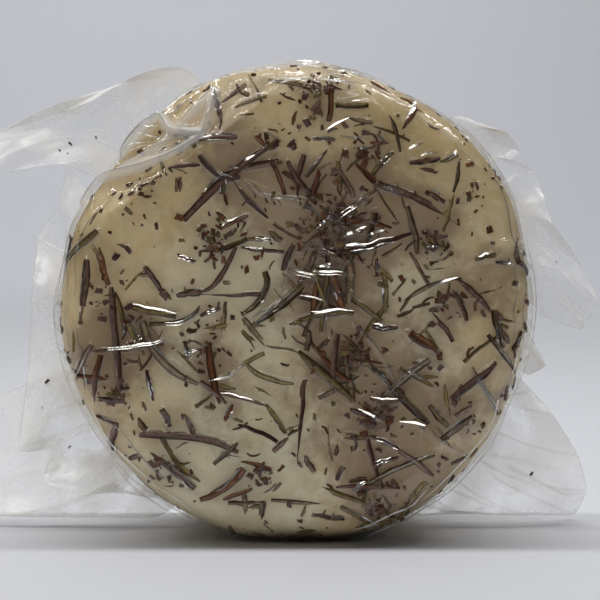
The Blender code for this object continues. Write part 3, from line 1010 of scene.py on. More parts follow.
@dataclass
class Rosemary:
    """Needles and crumbs of dried rosemary on both faces, the shoulders and the rim."""

    fields: dict[Side, Field]
    under: tuple[Scatter, ...] = (
        Scatter(Side.FRONT, 90, 0.0, 0.70, faded=True), Scatter(Side.FRONT, 130, 0.0, 0.72, dull_only=True),
    )
    over: tuple[Scatter, ...] = (
        Scatter(Side.FRONT, 26, 0.62, 0.93), Scatter(Side.BACK, 200, 0.0, 0.93),
        Scatter(Side.BACK, 70, 0.0, 0.70, faded=True),
    )
    seed: int = 7
    sides: int = 8
    lengths: int = 6
    sinks: tuple[float, ...] = (0.25, 0.3, 0.4, 0.55, 0.7)  # shares of a needle's height that lie in the curd
    dip: float = 0.35  # how much deeper than its middle an end lies, at most
    hues: tuple[Herb, ...] = (Herb.PLUM,) * 6 + (Herb.OLIVE,) * 4 + (Herb.GREY,) * 4 + (Herb.RUST,)
    faded_hues: tuple[Herb, ...] = (Herb.OLIVE, Herb.GREY)
    sliver_hues: tuple[Herb, ...] = (Herb.RUST,) * 4 + (Herb.PLUM,) * 4 + (Herb.OLIVE, Herb.GREY)
    sliver_half_lengths: tuple[float, float] = (0.6, 2.2)
    sliver_widths: tuple[float, float] = (0.45, 0.95)
    half_lengths: tuple[float, float] = (1.5, 9)  # of scattered needles, in millimetres
    faded_half_lengths: tuple[float, float] = (1.5, 6.5)
    widths: tuple[float, float] = (1.1, 1.8)
    faded_widths: tuple[float, float] = (0.8, 1.6)
    faded_sinks: tuple[float, float] = (0.66, 0.82)
    faded_tones: tuple[float, float] = (0.5, 1.0)
    limit: float = 0.96  # share of the reach that a scattered needle doesn't pass
    gap: float = 0.06 * MM  # what the film keeps off a needle
    loose_slivers: tuple[tuple[Side, int], ...] = ((Side.FRONT, 80), (Side.BACK, 160))
    loose_crumbs: tuple[tuple[Side, int], ...] = ((Side.FRONT, 420), (Side.BACK, 560))
    crumb_herbs: tuple[tuple[Herb, float], ...] = ((Herb.PLUM, 0.42), (Herb.RUST, 0.38), (Herb.OLIVE, 0.2))
    heap_crumbs: float = 1.8  # crumbs for each one that CRUMB_HEAPS counts
    needles: dict[tuple[Side, Herb], list[Needle]] = field(default_factory=dict)

    def build(self) -> None:
        """Lays the needles and crumbs and makes a piece of each hue."""
        draw = random.Random(self.seed)
        for ring in self.under:
            self.scatter(draw, ring)
        self.lay_face(draw)
        for ring in self.over:
            self.scatter(draw, ring)
        self.slivers(draw)
        for herb in Herb:
            self.needle_piece(herb)
        for herb, share in self.crumb_herbs:
            self.crumb_piece(draw, herb, share)

    def add(
        self, draw: random.Random, side: Side, herb: Herb, corners: np.ndarray, width: float, faded: bool = False
    ) -> None:
        """Lays one needle on what is there already.

        Args:
            draw: the seeded draw.
            side: which half.
            herb: its hue.
            corners: two or three unrolled points that it passes.
            width: its width.
            faded: whether it is pale and lies almost wholly in the curd.
        """
        share = np.linspace(0, 1, self.lengths + 1)
        if len(corners) == 2:
            run = corners[1] - corners[0]
            length = float(np.hypot(*run))
            lean = np.array([-run[1], run[0]])
            bow = corners.mean(0) + lean * draw.uniform(-0.05, 0.05) * min(1.0, 12 * MM / max(length, MM))
            knee = 2 * bow - corners.mean(0)
        else:
            knee = 2 * corners[1] - (corners[0] + corners[2]) / 2
        weights = ((1 - share) ** 2, 2 * share * (1 - share), share**2)
        path = sum(corner * weight[:, None] for corner, weight in zip((corners[0], knee, corners[-1]), weights))
        width *= draw.uniform(0.85, 1.25)
        sink = draw.uniform(*self.faded_sinks) if faded else draw.choice(self.sinks)
        sink = np.clip(sink + draw.uniform(-self.dip, self.dip) * (2 * share - 1), 0.15, 1.05)
        tone = draw.uniform(*self.faded_tones) if faded else draw.random()
        height = width * draw.uniform(0.6, 0.75)
        heights = self.fields[side]
        under = heights.read(heights.pile, path[:, 0], path[:, 1]) * 0.7
        for _ in range(2):
            under = np.convolve(np.pad(under, 1, mode="edge"), (0.25, 0.5, 0.25), mode="valid")
        ends = (draw.uniform(0.6, 0.95), draw.uniform(0.25, 0.8))
        if draw.random() < 0.5:
            ends = ends[::-1]
        self.needles.setdefault((side, herb), []).append(
            Needle(path, width, height, tone, ends, under, sink, draw.randrange(10**6))
        )
        taper = self.taper(share, ends)
        heights.lay(path, width * taper * 0.55, under + height * (1 - sink) + self.gap)

    @staticmethod
    def taper(share: np.ndarray, ends: tuple[float, float]) -> np.ndarray:
        """A needle's width along its length, against its full width.

        Args:
            share: 0 at one end and 1 at the other.
            ends: the width at both ends, the small one where it comes to a point.

        Returns:
            The width at each share.
        """
        first, last = (
            end + (1 - end) * np.sin(np.clip(away * 3.2, 0, math.pi / 2)) for end, away in zip(ends, (share, 1 - share))
        )
        return first * last

    def lay_face(self, draw: random.Random) -> None:
        """Lays the needles that show on the face."""
        for herb, width, *places in FACE_NEEDLES:
            self.add(draw, Side.FRONT, herb, FACE.path(places), width * MM)

    def scatter(self, draw: random.Random, ring: Scatter) -> None:
        """Spreads the needles of a ring by the seeded draw.

        Args:
            draw: the seeded draw.
            ring: the ring.
        """
        herbs = self.hues
        half_lengths, widths = self.half_lengths, self.widths
        if ring.faded:
            herbs = self.faded_hues
            half_lengths, widths = self.faded_half_lengths, self.faded_widths
        reach = WHEEL.level_reach
        for _ in range(ring.count):
            along = reach * math.sqrt(draw.uniform(ring.first**2, ring.last**2))
            angle = draw.uniform(0, math.tau)
            lean = draw.uniform(0, math.tau)
            half = draw.uniform(*half_lengths) * MM
            middle = spoke(angle) * along
            if ring.dull_only and float(zoned(DULL_SHADE_AND_LIGHT_ZONES, middle[:1], middle[1:])[0]) < draw.uniform(0.1, 0.6):
                continue
            swing = spoke(lean) * half
            ends = [middle - swing, middle + swing]
            if max(float(np.hypot(*end)) for end in ends) > reach * self.limit:
                around = np.array([-math.sin(angle), math.cos(angle)]) * half
                ends = [middle - around, middle + around]
            width = draw.uniform(*widths) * MM
            self.add(draw, ring.side, draw.choice(herbs), np.array(ends), width, ring.faded)

    @staticmethod
    def spots(
        draw: random.Random, heaped: list[int], spread: float, loose: list[tuple[Side, int]], out: float
    ) -> list[tuple[Side, float, float]]:
        """Places for small bits: in the heaps first, and then anywhere.

        Args:
            draw: the seeded draw.
            heaped: how many lie in each heap of CRUMB_HEAPS.
            spread: how far they stray in a heap, against its radius.
            loose: how many lie anywhere on each half.
            out: share of the half's area that those lie in.

        Returns:
            The half and the unrolled place of each.
        """
        places = []
        for (right, down, radius, _), count in zip(CRUMB_HEAPS, heaped):
            x, z = FACE.unroll(right, down)
            for _ in range(count):
                aside, above = (draw.gauss(0, spread) * radius * MM for _ in range(2))
                places.append((Side.FRONT, x + aside, z + above))
        for side, count in loose:
            for _ in range(count):
                angle, along = draw.uniform(0, math.tau), WHEEL.level_reach * math.sqrt(draw.uniform(0, out))
                places.append((side, along * math.cos(angle), along * math.sin(angle)))
        return places

    def slivers(self, draw: random.Random) -> None:
        """Lays short broken bits of needle, most of them where the crumbs are heaped.

        Args:
            draw: the seeded draw.
        """
        heaped = [count // 3 for *_, count in CRUMB_HEAPS]
        for side, x, z in self.spots(draw, heaped, 0.6, list(self.loose_slivers), 0.85):
            lean, half = draw.uniform(0, math.tau), draw.uniform(*self.sliver_half_lengths) * MM
            swing = spoke(lean) * half
            middle = np.array([x, z])
            bow = np.array([swing[1], -swing[0]]) * draw.uniform(-0.5, 0.5)
            corners = np.array([middle - swing, middle + bow, middle + swing])
            self.add(draw, side, draw.choice(self.sliver_hues), corners, draw.uniform(*self.sliver_widths) * MM)

    def needle_piece(self, herb: Herb) -> None:
        """Makes one piece of every needle of a hue.

        Args:
            herb: the hue.
        """
        along_x = Matrix.Rotation(math.radians(90), 4, "Y")
        template = bar_template(self.sides, self.lengths, "needle_template", along_x)
        shape = vertex_places(template)
        angle = np.arctan2(shape[:, 2], shape[:, 1])
        groove = np.clip(1 - np.abs(angle - math.pi / 2) / (math.pi / 3.2), 0, 1)
        bm = bmesh.new()
        places, tones, grooves = [], [], []
        for side in Side:
            for needle in self.needles.get((side, herb), []):
                bm.from_mesh(template)
                places.append(self.bend(shape, angle, groove, needle, side))
                tones.append(np.full(len(shape), needle.tone))
                grooves.append(groove)
        bpy.data.meshes.remove(template)
        name = herb.value.name.replace("herb", "rosemary")
        places, tones, grooves = (np.concatenate(rows) for rows in (places, tones, grooves))
        finish_herb(bm, name, herb, places, tones, grooves, smooth=True)

    def bend(
        self, shape: np.ndarray, angle: np.ndarray, groove: np.ndarray, needle: Needle, side: Side
    ) -> np.ndarray:
        """Lays the straight template along a needle's path.

        Args:
            shape: the template's vertices.
            angle: each vertex's angle round the template.
            groove: 1 in the groove along the top and 0 away from it.
            needle: the needle.
            side: which half.

        Returns:
            The needle's vertices.
        """
        share = shape[:, 0] + 0.5
        ticks = np.linspace(0, 1, len(needle.path))
        x, z = sampled(needle.path, share).T
        run = np.gradient(needle.path, axis=0)
        run /= np.maximum(np.hypot(run[:, 0], run[:, 1]), TINY)[:, None]
        run_x, run_z = sampled(run, share).T
        rough = np.random.default_rng(needle.uneven)
        angle = angle + rough.normal(0, 0.5) + rough.normal(0, 0.6) * (share - 0.5)
        taper = self.taper(share, needle.ends) * rough.uniform(0.75, 1.2, len(share))
        swing = np.interp(share, ticks, np.cumsum(rough.normal(0, 0.07, len(ticks))) - 0.1)
        sideways = (np.cos(angle) * 0.5 * taper + swing) * needle.width
        roll = np.sin(angle) * 0.5 - 0.25 * groove
        own = needle.height * (0.5 + roll * taper - np.interp(share, ticks, needle.sink))
        lift = np.interp(share, ticks, needle.under) + own
        return WHEEL.points(x - run_z * sideways, z + run_x * sideways, side, lift)

    def crumb_piece(self, draw: random.Random, herb: Herb, share: float) -> None:
        """Makes one piece of the crumbs of a hue: small chips with uneven corners.

        Args:
            draw: the seeded draw.
            herb: its hue.
            share: its share of all the crumbs.
        """
        bm = bmesh.new()
        bmesh.ops.create_cube(bm, size=0.85)
        chip = mesh_from(bm, "chip_template")
        shape = vertex_places(chip)
        bm = bmesh.new()
        places, tones = [], []
        heaped = [round(count * self.heap_crumbs * share) for *_, count in CRUMB_HEAPS]
        loose = [(side, round(count * share)) for side, count in self.loose_crumbs]
        for side, x, z in self.spots(draw, heaped, 0.5, loose, 0.94):
            bm.from_mesh(chip)
            length = draw.uniform(0.5, 1.6) ** 1.8 * 1.15 * MM
            size = np.array([length, length * draw.uniform(0.3, 0.8), length * draw.uniform(0.2, 0.4)])
            uneven = np.array([[draw.uniform(0.3, 1.35) for _ in range(3)] for _ in shape])
            local = shape * uneven * size
            turn = draw.uniform(0, math.tau)
            across = x + local[:, 0] * math.cos(turn) - local[:, 1] * math.sin(turn)
            up = z + local[:, 0] * math.sin(turn) + local[:, 1] * math.cos(turn)
            heights = self.fields[side]
            under = heights.read(heights.pile, np.array([x]), np.array([z]))[0]
            places.append(WHEEL.points(across, up, side, local[:, 2] + 0.2 * size[2] + under * 0.8))
            tones.append(np.full(len(shape), draw.random()))
            spot = np.array([[x, z], [x + 0.01 * MM, z]])
            heights.lay(spot, np.full(2, length * 0.5), np.full(2, size[2] * 0.75 + under * 0.8 + 0.05 * MM))
        bpy.data.meshes.remove(chip)
        name = herb.value.name.replace("herb", "crumbs")
        places, tones = np.concatenate(places), np.concatenate(tones)
        finish_herb(bm, name, herb, places, tones, np.full(len(places), CRUMB_GROOVE))


@dataclass(frozen=True)
class Fold:
    """A crease that the film stands up in: points of the FaceMap, height and half width in millimetres."""

    height: float
    half_width: float
    places: tuple[float, ...]
    white: float = 0.0  # how much the film whitens along it


FACE_FOLDS = (
    Fold(3.4, 1.2, (110, 136, 121, 129, 136, 122, 149, 112, 160, 111, 166, 120, 194, 121), 0.6),
    Fold(2.4, 1.0, (84, 200, 89, 189, 102, 178, 117, 168, 136, 159, 149, 152, 168, 143, 187, 131, 197, 124), 0.55),
    Fold(2.2, 0.9, (166, 122, 159, 131, 148, 142, 136, 152, 121, 161), 0.42),
    Fold(2.4, 0.9, (211, 83, 204, 102, 197, 121), 0.42),
    Fold(2.2, 0.9, (211, 83, 190, 100, 175, 111), 0.48),
    Fold(1.0, 0.7, (297, 61, 326, 66, 353, 73)),
    Fold(1.1, 0.8, (262, 69, 282, 70)),
    Fold(1.1, 0.7, (282, 83, 296, 80, 311, 77)),
    Fold(1.1, 0.7, (322, 80, 340, 83, 357, 84)),
    Fold(1.1, 0.5, (325, 126, 350, 113)),
    Fold(1.2, 0.6, (264, 127, 280, 136)),
    Fold(1.5, 0.6, (245, 177, 262, 186, 281, 194, 310, 200)),
    Fold(1.2, 0.6, (408, 144, 422, 140)),
    Fold(1.2, 0.6, (420, 151, 436, 149)),
    Fold(1.2, 0.5, (354, 317, 371, 334, 384, 353, 398, 382)),
    Fold(1.1, 0.5, (400, 322, 418, 338, 436, 357, 457, 365)),
    Fold(1.2, 0.5, (469, 213, 482, 228, 497, 238, 520, 236)),
    Fold(1.1, 0.5, (466, 260, 474, 252, 486, 255, 498, 248)),
    Fold(1.0, 0.5, (208, 376, 229, 372, 245, 358)),
    Fold(1.2, 0.6, (245, 352, 259, 342)),
    Fold(1.3, 0.6, (165, 353, 200, 372)),
    Fold(1.1, 0.5, (400, 417, 425, 420, 438, 436, 464, 450)),
    Fold(1.3, 0.6, (353, 203, 328, 222)),
    Fold(0.9, 0.5, (88, 290, 97, 299)),
    Fold(0.9, 0.5, (394, 522, 410, 514, 425, 502)),
)


# Sharp creases in the tent of film and on the face: radius in millimetres, then points of the FaceMap
TENT_CREASES = (
    (0.13, 165, 108, 148, 118, 130, 126), (0.11, 163, 114, 140, 124, 120, 134), (0.11, 168, 118, 150, 130, 130, 146),
    (0.13, 172, 123, 152, 138, 130, 154), (0.10, 176, 127, 158, 140, 142, 150), (0.10, 150, 128, 132, 142, 112, 158),
    (0.22, 197, 124, 187, 131, 168, 143, 149, 152), (0.20, 149, 152, 136, 159, 117, 168, 102, 178),
    (0.16, 102, 178, 89, 189, 84, 200), (0.20, 108, 136, 121, 130, 136, 127, 168, 126),
    (0.18, 168, 126, 182, 125, 194, 122), (0.24, 121, 129, 136, 122, 149, 112), (0.22, 149, 112, 160, 111, 166, 120),
    (0.16, 154, 106, 161, 112), (0.16, 166, 122, 160, 131, 148, 142), (0.18, 211, 83, 206, 98, 197, 121),
    (0.16, 211, 83, 194, 96, 175, 111), (0.20, 162, 108, 170, 101, 177, 97, 184, 92), (0.16, 184, 92, 190, 94),
    (0.14, 128, 134, 114, 149, 102, 166), (0.14, 102, 166, 91, 185, 82, 202),
)
FACE_CREASES = (
    (0.20, 256, 317, 268, 308, 281, 295), (0.18, 252, 313, 262, 306, 272, 300), (0.22, 314, 309, 326, 306, 337, 304),
    (0.20, 320, 262, 326, 260, 333, 258), (0.24, 341, 232, 350, 228, 360, 226), (0.24, 368, 230, 376, 227, 386, 225),
    (0.18, 355, 226, 361, 223, 367, 221), (0.20, 317, 223, 324, 217, 330, 210), (0.22, 228, 160, 233, 163, 238, 163),
    (0.22, 238, 154, 246, 155, 255, 150), (0.18, 205, 185, 216, 173, 226, 167), (0.16, 245, 178, 256, 190, 270, 193),
    (0.16, 270, 193, 290, 194, 303, 196), (0.16, 303, 196, 314, 206, 322, 214), (0.16, 250, 176, 262, 188, 274, 190),
    (0.16, 274, 190, 294, 191, 306, 193), (0.18, 264, 127, 272, 131, 281, 136), (0.18, 325, 126, 336, 119, 349, 113),
    (0.16, 340, 131, 352, 133, 362, 133), (0.18, 376, 129, 381, 133, 386, 139), (0.18, 382, 182, 391, 184, 400, 188),
    (0.20, 346, 240, 356, 239, 366, 241), (0.18, 430, 283, 444, 276, 458, 272), (0.18, 316, 262, 324, 261, 332, 262),
    (0.16, 354, 317, 371, 334, 384, 353), (0.16, 384, 353, 390, 366, 398, 382), (0.18, 358, 404, 373, 411, 384, 419),
    (0.18, 400, 417, 415, 418, 430, 422), (0.16, 430, 422, 440, 436, 464, 450), (0.18, 394, 522, 410, 514, 425, 502),
    (0.16, 262, 70, 272, 68, 283, 71), (0.18, 297, 62, 312, 62, 326, 67), (0.16, 326, 67, 340, 68, 353, 73),
    (0.18, 282, 83, 296, 79, 311, 77), (0.18, 322, 80, 340, 83, 357, 84), (0.18, 408, 144, 414, 141, 422, 140),
    (0.18, 420, 151, 428, 149, 437, 150), (0.18, 208, 376, 229, 372, 245, 358),
)

# Creases that run round the shoulder: from and to this rim angle, share of the reach, radius in millimetres
RIM_CREASES = (
    (148, 176, 0.70, 0.18), (150, 182, 0.74, 0.16), (176, 204, 0.72, 0.18), (186, 214, 0.68, 0.14),
    (206, 232, 0.71, 0.20), (214, 236, 0.66, 0.18), (230, 256, 0.72, 0.16), (284, 306, 0.70, 0.18),
    (302, 330, 0.72, 0.16), (326, 352, 0.71, 0.18), (348, 374, 0.73, 0.16), (352, 372, 0.69, 0.14),
    (12, 38, 0.72, 0.18), (34, 60, 0.70, 0.14), (58, 80, 0.72, 0.18), (76, 100, 0.69, 0.16), (96, 118, 0.72, 0.14),
)


# Cross-sections of the film's ridges: a lean-to with its long side towards the light, and a round bar
ROOF = ((1.0, -0.1), (-0.55, 0.78), (-0.8, 0.7), (-1.0, -0.1), (0.0, -0.3))
BAR = ((1.0, 0.0), (0.31, 0.95), (-0.81, 0.59), (-0.81, -0.59), (0.31, -0.95))


@dataclass
class Threads:
    """Thin ridges and edges of film, gathered into one piece."""

    name: str
    finish: FilmFinish
    section: tuple[tuple[float, float], ...]  # its cross-section, across and up, against its radius
    lengths: int = 14
    upper_side: tuple[float, float, float] = (-0.3, -0.2, 0.93)  # where the section's first corners lean
    free_rise: tuple[float, float, float] = (0.0, -1.0, 0.05)  # the way up on a sheet that lies on nothing
    places: list[np.ndarray] = field(default_factory=list)

    @property
    def sides(self) -> int:
        """How many corners its cross-section has."""
        return len(self.section)

    def add(self, path: np.ndarray, radius: float, rise: np.ndarray | None = None) -> None:
        """Adds one thread.

        Args:
            path: world points along it, one row each.
            radius: its radius, which runs out to a point at both ends.
            rise: the way up from what it lies on, one row a point, by default towards -Y.
        """
        share = np.linspace(0, 1, self.lengths + 1)
        line = sampled(path, share)
        for _ in range(2):
            line[1:-1] = (line[:-2] + 2 * line[1:-1] + line[2:]) / 4
        if rise is None:
            rise = np.tile(self.free_rise, (len(path), 1))
        rise = sampled(rise, share)
        across = unit_rows(np.cross(unit_rows(np.gradient(line, axis=0)), rise))
        if across.mean(0) @ self.upper_side < 0:
            across = -across
        up = unit_rows(rise)
        swell = radius * (0.25 + 0.75 * np.sin(share * math.pi))
        corners = np.array(self.section)
        ring = across[:, None] * corners[None, :, :1] + up[:, None] * corners[None, :, 1:]
        self.places.append(line[:, None] + ring * swell[:, None, None])

    def build(self) -> None:
        """Makes the piece."""
        template = bar_template(self.sides, self.lengths, "thread_template")
        shape = vertex_places(template)
        row = np.rint((shape[:, 2] + 0.5) * self.lengths).astype(int)
        turn = np.arctan2(shape[:, 1], shape[:, 0]) / math.tau * self.sides
        step = np.rint(turn - turn.min()).astype(int) % self.sides
        bm = bmesh.new()
        for _ in self.places:
            bm.from_mesh(template)
        mesh = mesh_from(bm, self.name)
        move_vertices(mesh, np.concatenate([grid[row, step] for grid in self.places]))
        bm = bmesh.new()
        bm.from_mesh(mesh)
        bmesh.ops.recalc_face_normals(bm, faces=bm.faces)
        bm.to_mesh(mesh)
        bm.free()
        bpy.data.meshes.remove(template)
        finish_piece(mesh, self.name, self.finish.material(), "film", "vacuum_bag", smooth=False)


# Lines of film that stand off the rim: from and to this rim angle, share of the reach, stand-off and radius in mm
RIM_LINES = (
    (150, 186, 0.80, 0.5, 0.14), (168, 208, 0.81, 0.9, 0.12), (196, 232, 0.79, 0.4, 0.16),
    (218, 242, 0.82, 1.3, 0.14), (-44, -12, 0.80, 0.5, 0.14), (-18, 16, 0.81, 0.8, 0.12), (24, 50, 0.80, 0.4, 0.12),
    (112, 146, 0.80, 0.6, 0.14), (286, 312, 0.80, 0.6, 0.16), (304, 326, 0.82, 1.0, 0.14), (66, 92, 0.80, 0.3, 0.12),
)


@dataclass
class FilmSkin:
    """The bag's film where the vacuum draws it over the wheel and its herbs."""

    fields: dict[Side, Field]
    front_cells: int = 438
    back_cells: int = 150
    clear: float = 0.1 * MM
    seam_lift: float = 0.6 * MM
    rim_sway: float = 1.6 * MM
    stand: float = 1.3 * MM  # how far the film stands off where it spans from the shoulder to the rim
    stand_at: float = 0.8  # share of the reach where it stands off most
    stand_width: float = 0.09
    seam_from: float = 0.94  # share of the reach where it begins to draw in to the seam
    seam_width: float = 0.06
    clouded_gap: float = 0.9 * MM  # a gap under the film that looks fully clouded
    cloud: float = 0.015
    white_half_width: float = 1.9 * MM
    shortest: float = 4 * MM  # of the needles that raise a ridge
    deepest: float = 0.6  # share of such a needle's height that lies in the curd, at most
    bare_front: float = 0.42  # share of the needles that raise no ridge
    bare_back: float = 0.72
    twin_share: float = 0.55  # share of the ridges that have a second one beside them
    light_side: tuple[float, float] = (-0.4, 1.0)  # a ridge lies on this side of its needle
    tent_scale: float = 1.1  # the radius of a crease as built, against its row in the tables
    face_scale: float = 1.9
    rim_scale: float = 1.3
    rim_points: int = 15
    ridge_finish: FilmFinish = FilmFinish(
        "film_ridge", tint=(1.0, 1.0, 0.99, 1.0), haze=0.02, edge_haze=0.08, roughness=0.12, wrinkle=0.02 * MM,
        wrinkle_size=2.2 * MM, gloss=0.37,
    )
    crease_finish: FilmFinish = FilmFinish(
        "film_crease", tint=(1.0, 1.0, 0.99, 1.0), haze=0.5, edge_haze=0.7, roughness=0.22, wrinkle=0.02 * MM,
        wrinkle_size=2 * MM, gloss=0.36,
    )
    finish: FilmFinish = FilmFinish(
        "film_tight", tint=(1.0, 1.0, 0.99, 1.0), haze=0.0, edge_haze=0.02, roughness=0.06, wrinkle=0.07 * MM,
        wrinkle_size=2.6 * MM, gloss=0.04, crease_haze=1.0, veins=0.10,
    )

    def build(self) -> None:
        """Folds and stretches the film over both halves."""
        front = self.fields[Side.FRONT]
        for fold in FACE_FOLDS:
            corners = FACE.path(fold.places)
            swell = np.sin(np.linspace(0.15, math.pi - 0.15, len(corners)))
            front.lay(corners, np.full(len(corners), fold.half_width * MM), fold.height * MM * (0.5 + 0.5 * swell), 1.0)
            if fold.white:
                white = np.full(len(corners), fold.white)
                front.lay(corners, np.full(len(corners), self.white_half_width), white, 1.0, front.white)
        material = self.finish.material()
        for heights in self.fields.values():
            heights.stretch()
        for side, cells, name, part in (
            (Side.FRONT, self.front_cells, "film_front_top", 1),
            (Side.FRONT, self.front_cells, "film_front_foot", -1),
            (Side.BACK, self.back_cells, "film_back", 0),
        ):
            heights = self.fields[side]
            mesh, unrolled = half_skin(cells, side, name, part)
            lift = self.lift(heights, unrolled)
            across, up = unrolled.T
            gap = heights.read(Field.blurred(heights.film - heights.pile, (2, 2)), across, up)
            cloud = np.clip(gap / self.clouded_gap - 0.25, 0, 1) * self.cloud
            keep_number(mesh, "crease", cloud + heights.read(heights.white, across, up))
            move_vertices(mesh, WHEEL.points(across, up, side, lift))
            finish_piece(mesh, name, material, "film", "vacuum_bag")

    def wrinkles(self, needles: dict[tuple[Side, Herb], list[Needle]], draw: random.Random) -> None:
        """Makes the fine ridges of film that the vacuum leaves along needles, in folds and round the shoulder.

        Args:
            needles: the needles by half and hue.
            draw: the seeded draw.
        """
        ridges = Threads("film_ridges", self.ridge_finish, ROOF)
        creases = Threads("film_creases", self.crease_finish, BAR)
        for (side, _), laid in needles.items():
            for needle in laid:
                self.along_needle(ridges, side, needle, draw)
        for radius, *places in TENT_CREASES:
            self.ridge(creases, Side.FRONT, FACE.path(places), radius * self.tent_scale * MM)
        for radius, *places in FACE_CREASES:
            self.ridge(ridges, Side.FRONT, FACE.path(places), radius * self.face_scale * MM)
        for side in Side:
            for first, last, share, radius in RIM_CREASES:
                path, _ = self.round_rim(first, last, share, 9, side, 1.5)
                self.ridge(ridges, side, path, radius * self.rim_scale * MM)
        for first, last, share, stand, radius in RIM_LINES:
            path, sway = self.round_rim(first, last, share, 5, stand, 1.6)
            self.ridge(creases, Side.FRONT, path, radius * MM, stand * MM * (1 + 0.5 * sway))
        ridges.build()
        creases.build()

    def along_needle(self, ridges: Threads, side: Side, needle: Needle, draw: random.Random) -> None:
        """Lays one or two ridges along a needle, or none.

        Args:
            ridges: what they are added to.
            side: which half.
            needle: the needle.
            draw: the seeded draw.
        """
        bare = self.bare_front if side == Side.FRONT else self.bare_back
        length = float(np.hypot(*(needle.path[-1] - needle.path[0])))
        if length < self.shortest or needle.sink.mean() > self.deepest or draw.random() < bare:
            return
        run = (needle.path[-1] - needle.path[0]) / length
        edge = np.array([-run[1], run[0]])
        if edge @ self.light_side < 0:
            edge = -edge
        first = draw.uniform(0.0, 0.3)
        last = min(first + draw.uniform(0.45, 0.95), 1.0)
        path = sampled(needle.path, np.linspace(first, last, 8))
        wave = np.array([draw.gauss(0, 0.12) for _ in path])[:, None] * needle.width
        above = path + edge * (needle.width * draw.uniform(0.15, 0.45) + wave)
        self.ridge(ridges, side, above, draw.uniform(0.17, 0.36) * MM)
        if draw.random() < self.twin_share:
            below = path + edge * (needle.width * draw.uniform(-0.45, -0.2) + wave)
            self.ridge(ridges, side, below, draw.uniform(0.13, 0.25) * MM)

    def round_rim(
        self, first: float, last: float, share: float, waves: float, key: float, swing: float
    ) -> tuple[np.ndarray, np.ndarray]:
        """An unrolled path round the rim that sways in and out.

        Args:
            first: the rim angle where it begins, in degrees.
            last: the rim angle where it ends.
            share: how far out it runs, as a share of the reach.
            waves: how fast it sways.
            key: tells its sway from the others'.
            swing: how far it sways, against rim_sway.

        Returns:
            The path, and the sway at each of its points, mostly between -0.5 and 0.5.
        """
        turn = np.radians(np.linspace(first, last, self.rim_points))
        sway = np.array([noise.noise(Vector((a * waves, share * 9, key))) for a in turn])
        along = WHEEL.reach(turn) * share + sway * self.rim_sway * swing
        return np.stack([np.cos(turn) * along, np.sin(turn) * along], axis=-1), sway

    def ridge(
        self, ridges: Threads, side: Side, path: np.ndarray, radius: float, stand: np.ndarray | float = 0.0
    ) -> None:
        """Adds one ridge along unrolled points.

        Args:
            ridges: what it is added to.
            side: which half.
            path: the unrolled points.
            radius: its radius.
            stand: how far it stands off the film, in which it is otherwise half sunk.
        """
        share = np.linspace(0, 1, ridges.lengths + 1)
        fine = sampled(path, share)
        stand_off = np.interp(share, np.linspace(0, 1, len(path)), np.broadcast_to(stand, len(path)))
        lift = self.lift(self.fields[side], fine) + stand_off
        places = WHEEL.points(*fine.T, side, lift)
        ridges.add(places, radius, WHEEL.points(*fine.T, side, lift + MM) - places)

    def lift(self, heights: Field, unrolled: np.ndarray) -> np.ndarray:
        """The film's height off the curd at each unrolled place.

        Args:
            heights: the half's heights.
            unrolled: the places, one row each.

        Returns:
            The height at each place.
        """
        across, up = unrolled.T
        angle = np.arctan2(up, across)
        share = np.hypot(across, up) / WHEEL.reach(angle)
        film = heights.read(heights.film, across, up) + self.clear
        bulge = np.exp(-(((share - self.stand_at) / self.stand_width) ** 2))
        uneven = np.array([noise.noise(Vector((*(spoke(a) * 5), s * 3))) for a, s in zip(angle, share)])
        film = film + self.stand * bulge * np.clip(0.55 + 0.9 * uneven, 0.05, 1.2)
        seam = np.clip((share - self.seam_from) / self.seam_width, 0, 1) ** 2
        return film * (1 - seam) + self.seam_lift * seam


@dataclass(frozen=True)
class Rib:
    """One rib of a loose sheet: where it leaves the rim, in degrees, and its free end in millimetres."""

    angle: float
    x: float
    y: float
    z: float


@dataclass(frozen=True)
class Sheet:
    """A loose sheet of the bag, drawn over its ribs."""

    name: str
    ribs: tuple[Rib, ...]


def ribs(*rows: tuple[float, float, float, float]) -> tuple[Rib, ...]:
    """Ribs from rows of angle, x, y and z."""
    return tuple(Rib(*row) for row in rows)


LOOSE_SHEETS = (
    Sheet("film_left_tongue", ribs(
        (113, -53, -2, 52), (120, -62, 3, 49), (127, -75, -2, 45), (133, -86, 3, 40), (139, -86, -3, 32),
        (148, -62, 1, 36),
    )),
    Sheet("film_left_skirt", ribs(
        (152, -60, 6, 36), (160, -62, 2, 25), (168, -68, 8, 17), (178, -69, 2, 0), (190, -71, 7, -20),
        (204, -73, 3, -40), (212, -65, 8, -40), (218, -66, 0, -48), (227, -56, -5, -51), (236, -48, 1, -48),
    )),
    Sheet("film_left_foot", ribs(
        (197, -86, 19, -30), (211, -87, 13, -46), (226, -85, 4, -57), (240, -42, 10, -59),
    )),
    Sheet("film_right_crest", ribs(
        (50, 51, 6, 45), (45, 56, 2, 44), (40, 60, 7, 39), (36, 57, 2, 37), (30, 64, 9, 34), (21, 68, 1, 20),
        (14, 77, 7, 8), (9, 80, 2, 0), (5, 76, 7, -8), (0, 65, 3, -4),
    )),
    Sheet("film_right_tab", ribs((-5, 62, 5, -9), (-11, 66, 0, -17), (-17, 62, 5, -20))),
    Sheet("film_right_skirt", ribs(
        (-19, 61, 6, -22), (-26, 68, 2, -30), (-33, 76, 9, -42), (-41, 78, 6, -51), (-48, 76, 17, -59),
        (-55, 55, 12, -58), (-62, 39, 8, -57),
    )),
)

